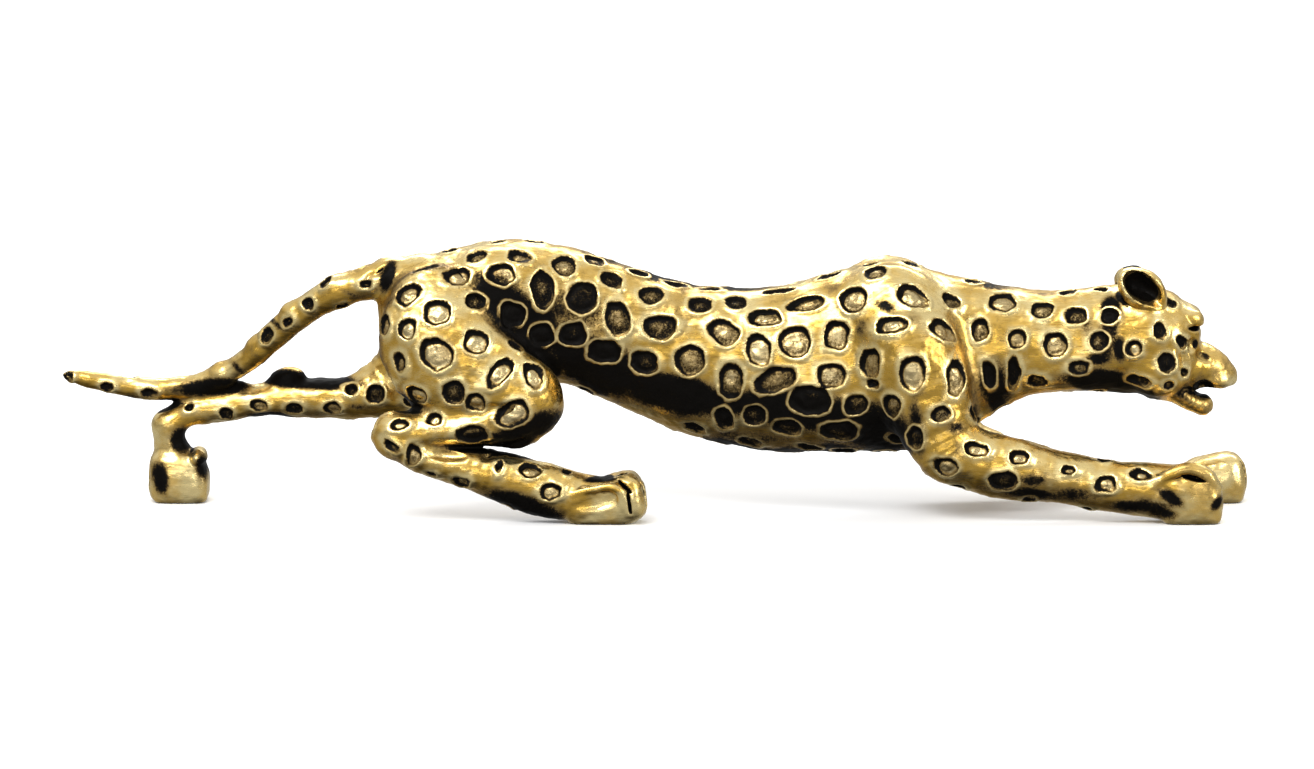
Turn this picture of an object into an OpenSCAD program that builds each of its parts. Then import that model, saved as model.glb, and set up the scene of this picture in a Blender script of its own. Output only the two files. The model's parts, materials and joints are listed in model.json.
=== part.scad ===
// Spotted big cat, leaping: a car hood mascot, cast in pieces that are pinned and brazed together.
// Millimetres. +X is forward, +Y is the cat's left and +Z is up. The four soles stand on z = 0.

/* [Figure] */
// Length from the tail tip to the front paws
figure_l = 200; // [165:1:245]
// Height of the rump above the soles
figure_h = 46; // [38:0.5:56]
// Width across the thighs
figure_w = 30; // [25:0.5:37]

/* [Castings] */
// Wall of the hollow torso
wall_t = 2.2; // [1.6:0.1:2.7]
// Gap that the braze fills between two castings
braze_gap = 0.1; // [0.05:0.01:0.2]
// Radius of an ear cup
ear_r = 4.4; // [3.6:0.1:5]
// Depth of the hollow in an ear cup, past the middle of the cup
ear_depth = 1.1; // [0.8:0.1:1.4]

/* [Locating pins] */
// Diameter of the dowels across the torso joint
dowel_d = 3; // [2.5:0.1:3.6]
// Length of those dowels
dowel_l = 8; // [6.5:0.5:9.5]
// Diameter of the pin that holds each leg
leg_pin_d = 3; // [2.5:0.1:3.6]
// Length of the leg pins
leg_pin_l = 8; // [6.5:0.5:9]
// Diameter of the neck pin
neck_pin_d = 4; // [3.2:0.1:4.8]
// Length of the neck pin
neck_pin_l = 15; // [12:0.5:18]
// Diameter of the tail pin
tail_pin_d = 2.4; // [2:0.1:2.9]
// Length of the tail pin
tail_pin_l = 9; // [7.5:0.5:10.5]
// Diameter of the spigots of the ears and the jaw
spigot_d = 2.4; // [2:0.1:2.9]
// Length of those spigots
spigot_l = 3; // [2.5:0.1:3.6]
// Radial clearance of a pin or spigot in its hole
pin_gap = 0.05; // [0.03:0.01:0.1]
// Metal round a pin inside the hollow torso
boss_wall_t = 2; // [1.6:0.1:2.4]

/* [Paw inserts] */
// Thread of the mounting studs, nominal diameter
thread_d = 4; // [3.3:0.1:4.4]
// Outside diameter of a threaded insert
insert_d = 5.6; // [5:0.1:6.4]
// Length of a threaded insert
insert_l = 4.5; // [3.7:0.1:5.4]
// Depth of the hole past the insert
insert_relief = 0.4; // [0.3:0.1:0.6]

/* [Hidden] */

left = 1;
right = -1;

// The tables below are drawn at this size, and scaled from it to the driving sizes.
drawn = [200, 30, 46];
k = [figure_l / drawn.x, figure_w / drawn.y, figure_h / drawn.z];
function to_size(p) = [p.x * k.x, p.y * k.y, p.z * k.z];

// Upright sections: x, z of the top, z of the bottom, half width.
torso_sections = [
    [-44, 36, 25, 4.6], [-41, 40.6, 20.6, 6.8], [-33, 44, 20, 8.2], [-22, 46, 21, 8.4], [-12, 43.6, 20.2, 7.8],
    [0, 39.6, 15.2, 8.2], [12, 37.4, 11.4, 9.3], [23, 38.2, 10, 10], [33, 41.6, 9.8, 10.1], [41, 43.2, 10, 9.7],
    [49, 39.8, 11.4, 9], [57, 38.2, 16.4, 8.2], [65, 37.2, 20.2, 7.5], [77, 38, 20.6, 7.2]
];
cavity_from = -34;
cavity_to = 58;
skull_sections = [[77, 38, 20.6, 7.2], [81, 38.8, 19.8, 8.1], [85, 38.2, 19.3, 8.2], [88.5, 36.4, 20.2, 7.2], [91, 33.9, 22.6, 5.4]];

// Limb sections: x, y, z of the centre, half thickness seen from the side, half thickness across.
// y is written for the left side, and a side sign mirrors it.
front_upper = [[40.5, 9, 36, 7.4, 4.4], [42, 9.8, 30, 8.6, 5], [44.5, 10, 21.5, 7.8, 5], [48, 10.1, 12.5, 5.6, 4.6]];
front_right_lower = [
    [48.5, 10.1, 10, 5.9, 4.6], [57, 10.2, 9, 5.7, 4.3], [65, 10.3, 7.5, 4.9, 4], [72, 10.3, 6.5, 4.6, 3.9],
    [80, 10.4, 5.8, 4.5, 3.9], [87, 10.5, 4.5, 5.3, 4.4], [91, 10.5, 3.6, 5.6, 4.6]
];
front_left_lower = [
    [48.5, 10.1, 9.6, 5.4, 4.6], [57, 10.2, 7.2, 4.6, 4.2], [65, 10.3, 5.3, 3.8, 3.9], [72, 10.3, 4.3, 3.3, 3.7],
    [80, 10.4, 3.8, 3.1, 3.6], [89, 10.5, 3.2, 3.9, 4.2], [95.6, 10.5, 2.7, 4.3, 4.5]
];
hind_right_thigh = [[-38, 9, 36, 6.4, 4.2], [-34.5, 9.8, 31.5, 9.4, 5.2], [-28, 9.8, 25.5, 9.4, 5.2], [-22.6, 9.8, 19.4, 6.6, 4.8]];
hind_right_shank = [[-22.5, 9.9, 16.6, 4.2, 4.4], [-33, 10.2, 15, 3.8, 4], [-42.6, 10.4, 13.4, 3.4, 3.7]];
hind_right_foot = [
    [-43, 10.4, 12, 3.5, 3.7], [-34, 10.4, 8.3, 3.6, 3.6], [-23, 10.5, 4.8, 4, 3.9],
    [-13, 10.5, 3.2, 4.4, 4.4], [-5.2, 10.5, 2.8, 4.5, 4.5]
];
hind_left_thigh = [[-36, 9, 35, 6.6, 4.4], [-36, 9.8, 29, 8.8, 5.2], [-41, 9.9, 21, 5.4, 4.8], [-46, 10, 18.6, 4, 4.2]];
hind_left_shank = [
    [-42, 10, 18.4, 4, 4.3], [-53, 10.2, 17.2, 3.6, 3.8], [-62, 10.4, 17.8, 3.7, 3.6], [-67, 10.5, 17, 3, 3.2],
    [-76, 10.5, 15.7, 3.1, 3.3], [-80.6, 10.5, 13.3, 3, 3.3]
];
hind_left_foot = [[-81, 10.5, 13, 2.9, 3.3], [-81.4, 10.5, 9.2, 2.7, 3.4], [-80.2, 10.5, 5.4, 4.2, 4.2], [-80, 10.5, -1, 4.6, 4.5]];
tail_sections = [
    [-41, 0, 39.8, 2.7, 2.9], [-48, 0, 38.6, 2.8, 2.8], [-55, 1, 35.8, 2.6, 2.6], [-62, 3.4, 30.4, 2.3, 2.3],
    [-68, 6.6, 24.6, 2.1, 2.2], [-74, 9, 20.8, 1.9, 2], [-82, 10.2, 18.7, 1.8, 1.9], [-90, 9.6, 19.4, 1.6, 1.7],
    [-98.8, 8.4, 20.9, 1.2, 1.3]
];
muzzle_sections = [[84, 0, 24.5, 5, 5.6], [89, 0, 24.6, 4.6, 4.8], [93.5, 0, 24, 3.8, 3.9], [96.6, 0, 23.3, 2.6, 3]];
jaw_sections = [[84, 0, 20.4, 2, 3.8], [88.5, 0, 19.2, 1.7, 3], [91.8, 0, 17.8, 1.5, 2.2]];
ear_at = [82, 5, 37.4];
ear_spigot_at = [-0.34, -0.4, 0.3]; // From the middle of the cup to the spigot's top, in cup radii.
ear_facing = [35, 30]; // Degrees that the cup turns forward and tips up from straight sideways.

// Pin places: x, y, z on the drawn size.
rear_dowel_at = [-24, 0, 39];
belly_dowel_at = [17, 0, 16];
chest_dowel_at = [50, 0, 32];
front_leg_pin_at = [42, 9, 28];
hind_leg_pin_at = [-33, 8.6, 30];
neck_pin_at = [76.5, 0, 29];
tail_pin_at = [-43, 0, 39.2];
jaw_spigot_row = 1; // The row of the jaw's table that the spigot stands on.
front_right_insert_at = [89.8, 10.5, 0];
front_left_insert_at = [93.8, 10.5, 0];
hind_right_insert_at = [-9, 10.5, 0];
hind_left_insert_at = [-80, 10.5, 0];

neck_face = torso_sections[len(torso_sections) - 1][0] * k.x;
ring_points = 20;  // Points round a limb section.
torso_points = 24; // Points round a torso or head section.
steps = 2;         // Rings between one table row and the next.
below = 20;        // Depth of the block that trims the soles.
$fn = 48;

function unit(v) = v / norm(v);

// Catmull-Rom curve through the rows of a table.
function blend(a, b, c, d, t) =
    0.5 * (2 * b + (c - a) * t + (2 * a - 5 * b + 4 * c - d) * t * t + (3 * b - a - 3 * c + d) * t * t * t);
function smooth(rows, n) = let (last = len(rows) - 1) [
    for (i = [0 : last - 1], j = [0 : n - 1])
        blend(rows[max(i - 1, 0)], rows[i], rows[i + 1], rows[min(i + 2, last)], j / n),
    rows[last]
];

// A frame is [centre, up direction, half height, half width].
function upright_frames(rows, grow = 0) = [
    for (s = smooth(rows, steps)) [
        to_size([s[0], 0, (s[1] + s[2]) / 2]), [0, 0, 1],
        (s[1] - s[2]) / 2 * k.z + grow, s[3] * k.y + grow
    ]
];
function limb_frames(rows, side) =
    let (s = smooth(rows, steps), last = len(s) - 1)
    let (c = [for (p = s) to_size([p[0], side * p[1], p[2]])])
    [
        for (i = [0 : last])
            let (t = c[min(i + 1, last)] - c[max(i - 1, 0)])
            [c[i], unit([-t.z, 0, t.x]), s[i][3] * k.z, s[i][4] * k.y]
    ];

// Rings that close an end to a dome: depth 0 gives a flat end.
function dome(frame, direction, depth) = depth == 0 ? [] : [
    for (a = [30, 60])
        [frame[0] + direction * depth * sin(a), frame[1], frame[2] * cos(a), frame[3] * cos(a)]
];
function reversed(list) = [for (i = [len(list) - 1 : -1 : 0]) list[i]];

// A closed solid through the frames, with a dome or a flat at each end.
module loft(frames, start_dome, end_dome, points) {
    last = len(frames) - 1;
    forward = unit(frames[last][0] - frames[last - 1][0]);
    back = unit(frames[0][0] - frames[1][0]);
    all = concat(
        reversed(dome(frames[0], back, start_dome)), frames, dome(frames[last], forward, end_dome)
    );
    rings = [
        for (f = all, i = [0 : points - 1]) let (a = 360 * i / points)
            f[0] + f[1] * f[2] * cos(a) + [0, f[3] * sin(a), 0]
    ];
    tips = [frames[0][0] + back * start_dome, frames[last][0] + forward * end_dome];
    n = len(all);
    sides = [
        for (r = [0 : n - 2], i = [0 : points - 1])
            let (a = r * points + i, b = r * points + (i + 1) % points)
            each [[a, b, b + points], [a, b + points, a + points]]
    ];
    ends = [
        for (i = [0 : points - 1]) let (j = (i + 1) % points)
            each [[n * points, j, i], [n * points + 1, (n - 1) * points + i, (n - 1) * points + j]]
    ];
    polyhedron(points = concat(rings, tips), faces = concat(sides, ends), convexity = 6);
}

module limb(rows, side, start_dome, end_dome) {
    loft(limb_frames(rows, side), start_dome, end_dome, ring_points);
}

// Outside of the torso, grown by a gap where another casting is fitted to it.
module torso_outside(grow = 0) {
    loft(upright_frames(torso_sections, grow), 2 * k.x, 0, torso_points);
}

// A hole or pin along Y, from a depth inside the body outwards.
module across(at, d, from, to) {
    translate([at.x * k.x, 0, at.z * k.z]) rotate([-90, 0, 0]) translate([0, 0, from]) cylinder(d = d, h = to - from);
}

module leg_pin(at, side, d, grow = 0) {
    middle = side * at.y * k.y;
    across(at, d, middle - leg_pin_l / 2 - grow, middle + leg_pin_l / 2 + grow);
}

module torso_cavity() {
    rows = [for (s = torso_sections) if (s[0] > cavity_from && s[0] < cavity_to) s];
    boss_d = 2 * boss_wall_t;
    difference() {
        loft(upright_frames(rows, -wall_t), 0, 0, torso_points);
        for (at = [rear_dowel_at, belly_dowel_at, chest_dowel_at])
            across(at, dowel_d + boss_d, -figure_w, figure_w);
        for (at = [front_leg_pin_at, hind_leg_pin_at])
            across(at, leg_pin_d + boss_d, -figure_w, figure_w);
    }
}

module along_x(at, d, l) {
    translate(to_size(at)) rotate([0, 90, 0]) cylinder(d = d, h = l, center = true);
}

module torso_half(side) {
    color("goldenrod") difference() {
        intersection() {
            torso_outside();
            translate([-figure_l, side > 0 ? braze_gap / 2 : -figure_l - braze_gap / 2, -figure_l])
                cube([2 * figure_l, figure_l, 2 * figure_l]);
        }
        torso_cavity();
        for (at = [rear_dowel_at, belly_dowel_at, chest_dowel_at])
            across(at, dowel_d + 2 * pin_gap, -dowel_l / 2 - pin_gap, dowel_l / 2 + pin_gap);
        leg_pin(front_leg_pin_at, side, leg_pin_d + 2 * pin_gap, pin_gap);
        leg_pin(hind_leg_pin_at, side, leg_pin_d + 2 * pin_gap, pin_gap);
        along_x(neck_pin_at, neck_pin_d + 2 * pin_gap, neck_pin_l + 2 * pin_gap);
        along_x(tail_pin_at, tail_pin_d + 2 * pin_gap, tail_pin_l + 2 * pin_gap);
    }
}

// Everything that a leg is cut back from: the torso, the ground, its pin hole and its insert's hole.
module leg(side, pin_at, insert_at) {
    color("goldenrod") difference() {
        children();
        torso_outside(braze_gap);
        translate([-figure_l, -figure_l, -below]) cube([2 * figure_l, 2 * figure_l, below]);
        leg_pin(pin_at, side, leg_pin_d + 2 * pin_gap, pin_gap);
        insert_hole(insert_at, side);
    }
}

module insert_hole(at, side) {
    translate([at.x * k.x, side * at.y * k.y, -1]) cylinder(d = insert_d, h = 1 + insert_l + insert_relief);
}

module insert(at, side) {
    color("silver") translate([at.x * k.x, side * at.y * k.y, 0]) difference() {
        cylinder(d = insert_d - 2 * pin_gap, h = insert_l);
        translate([0, 0, -1]) cylinder(d = thread_d, h = insert_l + 2);
    }
}

module front_leg(side, lower, insert_at) {
    leg(side, front_leg_pin_at, insert_at) union() {
        limb(front_upper, side, 4 * k.z, 3 * k.z);
        limb(lower, side, 3.6 * k.x, 4.4 * k.x);
    }
}

module hind_right_leg() {
    leg(right, hind_leg_pin_at, hind_right_insert_at) union() {
        limb(hind_right_thigh, right, 4 * k.z, 6 * k.x);
        limb(hind_right_shank, right, 3 * k.x, 3.2 * k.x);
        limb(hind_right_foot, right, 3 * k.x, 4 * k.x);
    }
}

module hind_left_leg() {
    leg(left, hind_leg_pin_at, hind_left_insert_at) difference() {
        union() {
            limb(hind_left_thigh, left, 4 * k.z, 2 * k.x);
            limb(hind_left_shank, left, 3 * k.x, 2.6 * k.x);
            limb(hind_left_foot, left, 2 * k.z, 0);
        }
        tail_outside(braze_gap);
    }
}

module tail_outside(grow = 0) {
    frames = [for (f = limb_frames(tail_sections, left)) [f[0], f[1], f[2] + grow, f[3] + grow]];
    loft(frames, 0, 1.2 * k.x, ring_points);
}

module tail() {
    color("goldenrod") difference() {
        tail_outside();
        torso_outside(braze_gap);
        along_x(tail_pin_at, tail_pin_d + 2 * pin_gap, tail_pin_l + 2 * pin_gap);
    }
}

module head_outside(grow = 0) {
    muzzle = [for (f = limb_frames(muzzle_sections, left)) [f[0], f[1], f[2] + grow, f[3] + grow]];
    union() {
        loft(upright_frames(skull_sections, grow), 0, 1.4 * k.x, torso_points);
        loft(muzzle, 1.5 * k.x, 1.4 * k.x, ring_points);
    }
}

// Stands upright in the back of the cup, and goes down into the head.
module ear_spigot(side, grow = 0) {
    foot = to_size([ear_at.x, side * ear_at.y, ear_at.z]) + ear_r * [ear_spigot_at.x, side * ear_spigot_at.y, 0];
    translate([foot.x, foot.y, foot.z - spigot_l - grow])
        cylinder(d = spigot_d + 2 * grow, h = spigot_l + ear_r * ear_spigot_at.z + 2 * grow);
}

// Puts +Z along the way that an ear cup faces, with the origin at the cup's middle.
module place_ear(side) {
    translate(to_size([ear_at.x, side * ear_at.y, ear_at.z]))
        rotate([0, 0, side * (90 - ear_facing[0])]) rotate([0, 90 - ear_facing[1], 0]) children();
}

module head() {
    color("goldenrod") difference() {
        head_outside();
        translate([neck_face + braze_gap - 2 * figure_l, -figure_l, -figure_l]) cube(2 * figure_l);
        along_x(neck_pin_at, neck_pin_d + 2 * pin_gap, neck_pin_l + 2 * pin_gap);
        for (side = [left, right]) ear_spigot(side, pin_gap);
        jaw_spigot(pin_gap);
    }
}

module ear(side) {
    color("goldenrod") difference() {
        union() {
            difference() {
                place_ear(side) sphere(r = ear_r);
                head_outside(braze_gap);
            }
            ear_spigot(side);
        }
        place_ear(side) translate([0, 0, ear_r]) sphere(r = ear_r + ear_depth);
    }
}

// From the middle of the jaw, up through its top and on into the head.
module jaw_spigot(grow = 0) {
    row = jaw_sections[jaw_spigot_row];
    translate(to_size([row[0], row[1], row[2]]))
        cylinder(d = spigot_d + 2 * grow, h = row[3] * k.z + spigot_l + grow);
}

module lower_jaw() {
    color("goldenrod") union() {
        difference() {
            limb(jaw_sections, left, 1.6 * k.x, 1.3 * k.x);
            head_outside(braze_gap);
        }
        jaw_spigot();
    }
}

module dowel(at) {
    color("silver") across(at, dowel_d, -dowel_l / 2, dowel_l / 2);
}

torso_half(left);  // torso_left_half
torso_half(right);  // torso_right_half
head();
lower_jaw();
ear(left);  // left_ear
ear(right);  // right_ear
tail();
front_leg(left, front_left_lower, front_left_insert_at);  // front_left_leg
front_leg(right, front_right_lower, front_right_insert_at);  // front_right_leg
hind_left_leg();
hind_right_leg();
dowel(rear_dowel_at);  // rear_dowel
dowel(belly_dowel_at);  // belly_dowel
dowel(chest_dowel_at);  // chest_dowel
color("silver") along_x(neck_pin_at, neck_pin_d, neck_pin_l);  // neck_pin
color("silver") along_x(tail_pin_at, tail_pin_d, tail_pin_l);  // tail_pin
color("silver") leg_pin(front_leg_pin_at, left, leg_pin_d);  // front_left_leg_pin
color("silver") leg_pin(front_leg_pin_at, right, leg_pin_d);  // front_right_leg_pin
color("silver") leg_pin(hind_leg_pin_at, left, leg_pin_d);  // hind_left_leg_pin
color("silver") leg_pin(hind_leg_pin_at, right, leg_pin_d);  // hind_right_leg_pin
insert(front_left_insert_at, left);  // front_left_insert
insert(front_right_insert_at, right);  // front_right_insert
insert(hind_left_insert_at, left);  // hind_left_insert
insert(hind_right_insert_at, right);  // hind_right_insert
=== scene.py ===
"""The looks of a spotted big cat, cast in antiqued brass pieces that are pinned and brazed."""

from __future__ import annotations

import json
import logging
import math
from concurrent.futures import ThreadPoolExecutor
from dataclasses import dataclass, field
from enum import Enum
from typing import Callable, Iterable, Sequence

import bpy
import numpy as np
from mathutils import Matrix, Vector

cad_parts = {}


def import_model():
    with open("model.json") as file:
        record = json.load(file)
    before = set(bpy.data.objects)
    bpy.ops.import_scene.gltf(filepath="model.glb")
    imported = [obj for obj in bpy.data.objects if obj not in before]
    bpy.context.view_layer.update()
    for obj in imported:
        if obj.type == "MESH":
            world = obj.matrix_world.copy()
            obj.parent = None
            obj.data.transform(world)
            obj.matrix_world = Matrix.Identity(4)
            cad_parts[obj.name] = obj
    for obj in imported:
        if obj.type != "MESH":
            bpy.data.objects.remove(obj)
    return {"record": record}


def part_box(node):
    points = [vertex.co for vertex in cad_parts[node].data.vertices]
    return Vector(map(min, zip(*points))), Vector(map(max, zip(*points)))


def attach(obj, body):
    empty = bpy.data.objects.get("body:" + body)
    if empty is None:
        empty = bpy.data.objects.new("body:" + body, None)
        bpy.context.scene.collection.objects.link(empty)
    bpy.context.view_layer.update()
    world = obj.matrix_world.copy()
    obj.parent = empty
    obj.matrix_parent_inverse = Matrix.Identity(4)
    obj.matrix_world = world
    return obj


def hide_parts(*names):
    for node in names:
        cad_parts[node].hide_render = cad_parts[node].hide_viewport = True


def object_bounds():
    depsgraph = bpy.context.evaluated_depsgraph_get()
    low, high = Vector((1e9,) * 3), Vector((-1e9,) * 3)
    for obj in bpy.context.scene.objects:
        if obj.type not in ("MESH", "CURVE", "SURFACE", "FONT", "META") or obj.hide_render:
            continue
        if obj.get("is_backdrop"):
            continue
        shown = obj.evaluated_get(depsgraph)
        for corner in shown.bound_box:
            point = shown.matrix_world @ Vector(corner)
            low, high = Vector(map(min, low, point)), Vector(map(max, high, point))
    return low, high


LOG = logging.getLogger("mascot")
Array = np.ndarray
Row = tuple[float, ...]

MM = 0.001
DRAWN = np.array([200.0, 30.0, 46.0])  # The size that the tables below are drawn at, in millimetres.
GLANCE = math.radians(9.0)  # Spots are marked out looking this far down onto the side of the cat.
FAR_AWAY = 9.0  # Distance from a spot's edge where no spot is near.
FARTHEST = 1e3  # A distance that any shape is nearer than.
PITCH = 0.3  # Size of a mesh's faces, in millimetres.
WORKERS = 4
TORSO_PITCH = 0.34  # Keeps each half of the torso a light enough mesh.


# --------------------------------------------------------------------------------------------------
# Solid shapes, as signed distances in millimetres
# --------------------------------------------------------------------------------------------------


def smooth_rows(rows: Sequence[Row], finer: int) -> Array:
    """Runs a Catmull-Rom curve through the rows of a table.

    Args:
        rows: The table, one row to a station.
        finer: Steps from one row to the next.

    Returns:
        The stations along the curve, one to a row.
    """
    table = np.array(rows, dtype=float)
    padded = np.vstack([table[:1], table, table[-1:]])
    out = []
    for a, b, c, d in zip(padded, padded[1:], padded[2:], padded[3:]):
        for t in np.arange(finer) / finer:
            bend, twist = 2 * a - 5 * b + 4 * c - d, 3 * b - a - 3 * c + d
            out.append(0.5 * (2 * b + (c - a) * t + bend * t**2 + twist * t**3))
    return np.array(out + [table[-1]])


def soft_min(a: Array, b: Array, reach: float) -> Array:
    """Joins two distances with a fillet about as wide as reach.

    Args:
        a: Distances to one shape.
        b: Distances to the other.
        reach: The fillet's width, or 0 for none.

    Returns:
        The joined distances.
    """
    if reach <= 0:
        return np.minimum(a, b)
    h = np.maximum(reach - np.abs(a - b), 0.0) / reach
    return np.minimum(a, b) - h * h * reach * 0.25


def soft_max(a: Array, b: Array, reach: float) -> Array:
    """Cuts one distance by another with a softened edge."""
    return -soft_min(-a, -b, reach)


class Shape:
    """A solid that tells how far a point is outside it."""

    def box(self) -> tuple[Array, Array]:
        """Gives the lowest and highest corner."""
        raise NotImplementedError

    def measure(self, points: Array) -> Array:
        """Gives the signed distance of points near the solid."""
        raise NotImplementedError

    def distance(self, points: Array, reach: float = 5.0) -> Array:
        """Gives the signed distance, measured only where it matters.

        Args:
            points: Places to measure, one to a row.
            reach: Past this distance from the box, the distance to the box is enough.

        Returns:
            One distance for each point.
        """
        low, high = self.box()
        away = np.maximum(np.maximum(low - points, points - high), 0.0)
        out = np.sqrt(np.einsum("ij,ij->i", away, away))
        close = out < reach
        if close.any():
            out[close] = self.measure(points[close])
        return out


@dataclass(frozen=True)
class Limb(Shape):
    """A limb along a curve. Rows are x, y, z, half thickness from the side, half thickness across."""

    rows: tuple[Row, ...]
    finer: int = 3

    def stations(self) -> Array:
        """Gives the fine stations along the limb."""
        return smooth_rows(self.rows, self.finer)

    def box(self) -> tuple[Array, Array]:
        """Gives the lowest and highest corner.

        Returns:
            The two corners.
        """
        s = self.stations()
        r = s[:, 3:].max()
        return s[:, :3].min(0) - r, s[:, :3].max(0) + r

    def measure(self, points: Array) -> Array:
        """Gives the signed distance to the nearest stretch of the limb.

        Args:
            points: Places to measure, one to a row.

        Returns:
            One distance for each point.
        """
        best = np.full(len(points), FARTHEST)
        s = self.stations()
        for a, b in zip(s, s[1:]):
            flat = (a[4] + b[4]) / (a[3] + b[3])
            squash = np.array([1.0, 1.0 / flat, 1.0])
            axis = (b[:3] - a[:3]) * squash
            to = (points - a[:3]) * squash
            t = np.clip(to @ axis / (axis @ axis), 0.0, 1.0)
            off = to - t[:, None] * axis
            d = np.sqrt(np.einsum("ij,ij->i", off, off)) - (a[3] + t * (b[3] - a[3]))
            best = np.minimum(best, d * min(1.0, flat))
        return best


@dataclass(frozen=True)
class Lump(Shape):
    """An ellipsoid: a muscle, a knuckle or a hollow, tipped about Y, then turned about Z, in degrees."""

    centre: Row
    radii: Row
    tip: float = 0.0
    turn: float = 0.0
    power: float = 2.0  # More than 2 makes it blockier.

    def axes(self) -> Array:
        """Gives the three directions of the lump, one to a row.

        Returns:
            The three unit vectors.
        """
        a, b = math.radians(self.tip), math.radians(self.turn)
        tip = np.array([[math.cos(a), 0, math.sin(a)], [0, 1, 0], [-math.sin(a), 0, math.cos(a)]])
        turn = np.array([[math.cos(b), math.sin(b), 0], [-math.sin(b), math.cos(b), 0], [0, 0, 1]])
        return tip @ turn

    def box(self) -> tuple[Array, Array]:
        """Gives the lowest and highest corner.

        Returns:
            The two corners.
        """
        r = max(self.radii) * (1 if self.power == 2 else 1.3)
        c = np.array(self.centre)
        return c - r, c + r

    def measure(self, points: Array) -> Array:
        """Gives the distance to the ellipsoid, close to exact near its surface.

        Args:
            points: Places to measure, one to a row.

        Returns:
            One distance for each point.
        """
        radii = np.array(self.radii)
        q = np.abs((points - np.array(self.centre)) @ self.axes().T / radii)
        near = np.maximum((q**self.power).sum(1) ** (1 / self.power), 1e-6)
        slope = (q / near[:, None]) ** (self.power - 1) / radii
        return (near - 1.0) / np.maximum(np.sqrt(np.einsum("ij,ij->i", slope, slope)), 1e-6)


@dataclass(frozen=True)
class Loft(Shape):
    """A body of upright sections. Rows are x, z of the top and the bottom, half width, and how top-heavy."""

    rows: tuple[Row, ...]
    squareness: float = 2.25
    finer: int = 6

    def box(self) -> tuple[Array, Array]:
        """Gives the lowest and highest corner.

        Returns:
            The two corners.
        """
        t = np.array(self.rows)
        wide = t[:, 3].max() * 1.2
        return np.array([t[0, 0], -wide, t[:, 2].min()]), np.array([t[-1, 0], wide, t[:, 1].max()])

    def measure(self, points: Array) -> Array:
        """Gives the distance to the section at each point's own x, cut by flat ends.

        Args:
            points: Places to measure, one to a row.

        Returns:
            One distance for each point.
        """
        s = smooth_rows(self.rows, self.finer)
        x, y, z = points.T
        top, bottom, wide, heavy = (np.interp(x, s[:, 0], s[:, i]) for i in (1, 2, 3, 4))
        high = (top - bottom) / 2
        v = (z - (top + bottom) / 2) / high
        lean = wide * (1 + heavy * np.clip(v, -1.2, 1.2))
        u = np.abs(y) / lean
        n = self.squareness
        v = np.abs(v)
        total = np.maximum(u**n + v**n, 1e-9)
        q = total ** (1 / n)
        grow = total ** (1 / n - 1)
        slope = np.sqrt((grow * u ** (n - 1) / lean) ** 2 + (grow * v ** (n - 1) / high) ** 2)
        side = (q - 1) / np.maximum(slope, 0.02)
        return np.maximum(side, np.maximum(s[0, 0] - x, x - s[-1, 0]))


@dataclass(frozen=True)
class Bore(Shape):
    """An upright blind hole from below, at x, y, with a radius and a depth above the soles."""

    centre: tuple[float, float]
    radius: float
    depth: float

    def box(self) -> tuple[Array, Array]:
        """Gives the lowest and highest corner.

        Returns:
            The two corners.
        """
        x, y = self.centre
        r = self.radius
        return np.array([x - r, y - r, -9.0]), np.array([x + r, y + r, self.depth])

    def measure(self, points: Array) -> Array:
        """Gives the signed distance to the hole.

        Args:
            points: Places to measure, one to a row.

        Returns:
            One distance for each point.
        """
        x, y = self.centre
        round_wall = np.hypot(points[:, 0] - x, points[:, 1] - y) - self.radius
        return np.maximum(round_wall, points[:, 2] - self.depth)


@dataclass(frozen=True)
class Step:
    """One step of the modelling: a shape that is added or let in, with the width of its fillet."""

    shape: Shape
    fillet: float
    adds: bool = True


def add(shape: Shape, fillet: float = 1.5) -> Step:
    """Adds a shape."""
    return Step(shape, fillet)


def let_in(shape: Shape, fillet: float = 0.6) -> Step:
    """Lets a shape in as a hollow."""
    return Step(shape, fillet, False)


@dataclass
class Clay:
    """A modelled group: steps in order."""

    steps: list[Step]
    fillet: float = 1.6  # Where the group runs into the rest of the cat.

    def box(self) -> tuple[Array, Array]:
        """Gives the lowest and highest corner of what is added."""
        boxes = [s.shape.box() for s in self.steps if s.adds]
        return np.min([b[0] for b in boxes], 0), np.max([b[1] for b in boxes], 0)

    def distance(self, points: Array) -> Array:
        """Gives the signed distance to the group.

        Args:
            points: Places to measure, one to a row.

        Returns:
            One distance for each point.
        """
        out = np.full(len(points), FARTHEST)
        for step in self.steps:
            d = step.shape.distance(points)
            if step.adds:
                out = soft_min(out, d, step.fillet)
            else:
                out = soft_max(out, -d, step.fillet)
        return out


# --------------------------------------------------------------------------------------------------
# The anatomy
# --------------------------------------------------------------------------------------------------


class Side(Enum):
    """The two sides of the cat."""

    LEFT = 1
    RIGHT = -1


def put(rows: Sequence[Row], side: Side) -> tuple[Row, ...]:
    """Mirrors limb rows, written for the left side, onto a side."""
    return tuple((r[0], side.value * r[1], *r[2:]) for r in rows)


def lump(side: Side, centre: Row, radii: Row, tip: float = 0.0, turn: float = 0.0,
         power: float = 2.0) -> Lump:
    """Makes a lump on a side."""
    return Lump((centre[0], side.value * centre[1], centre[2]), radii, tip, side.value * turn, power)


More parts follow.
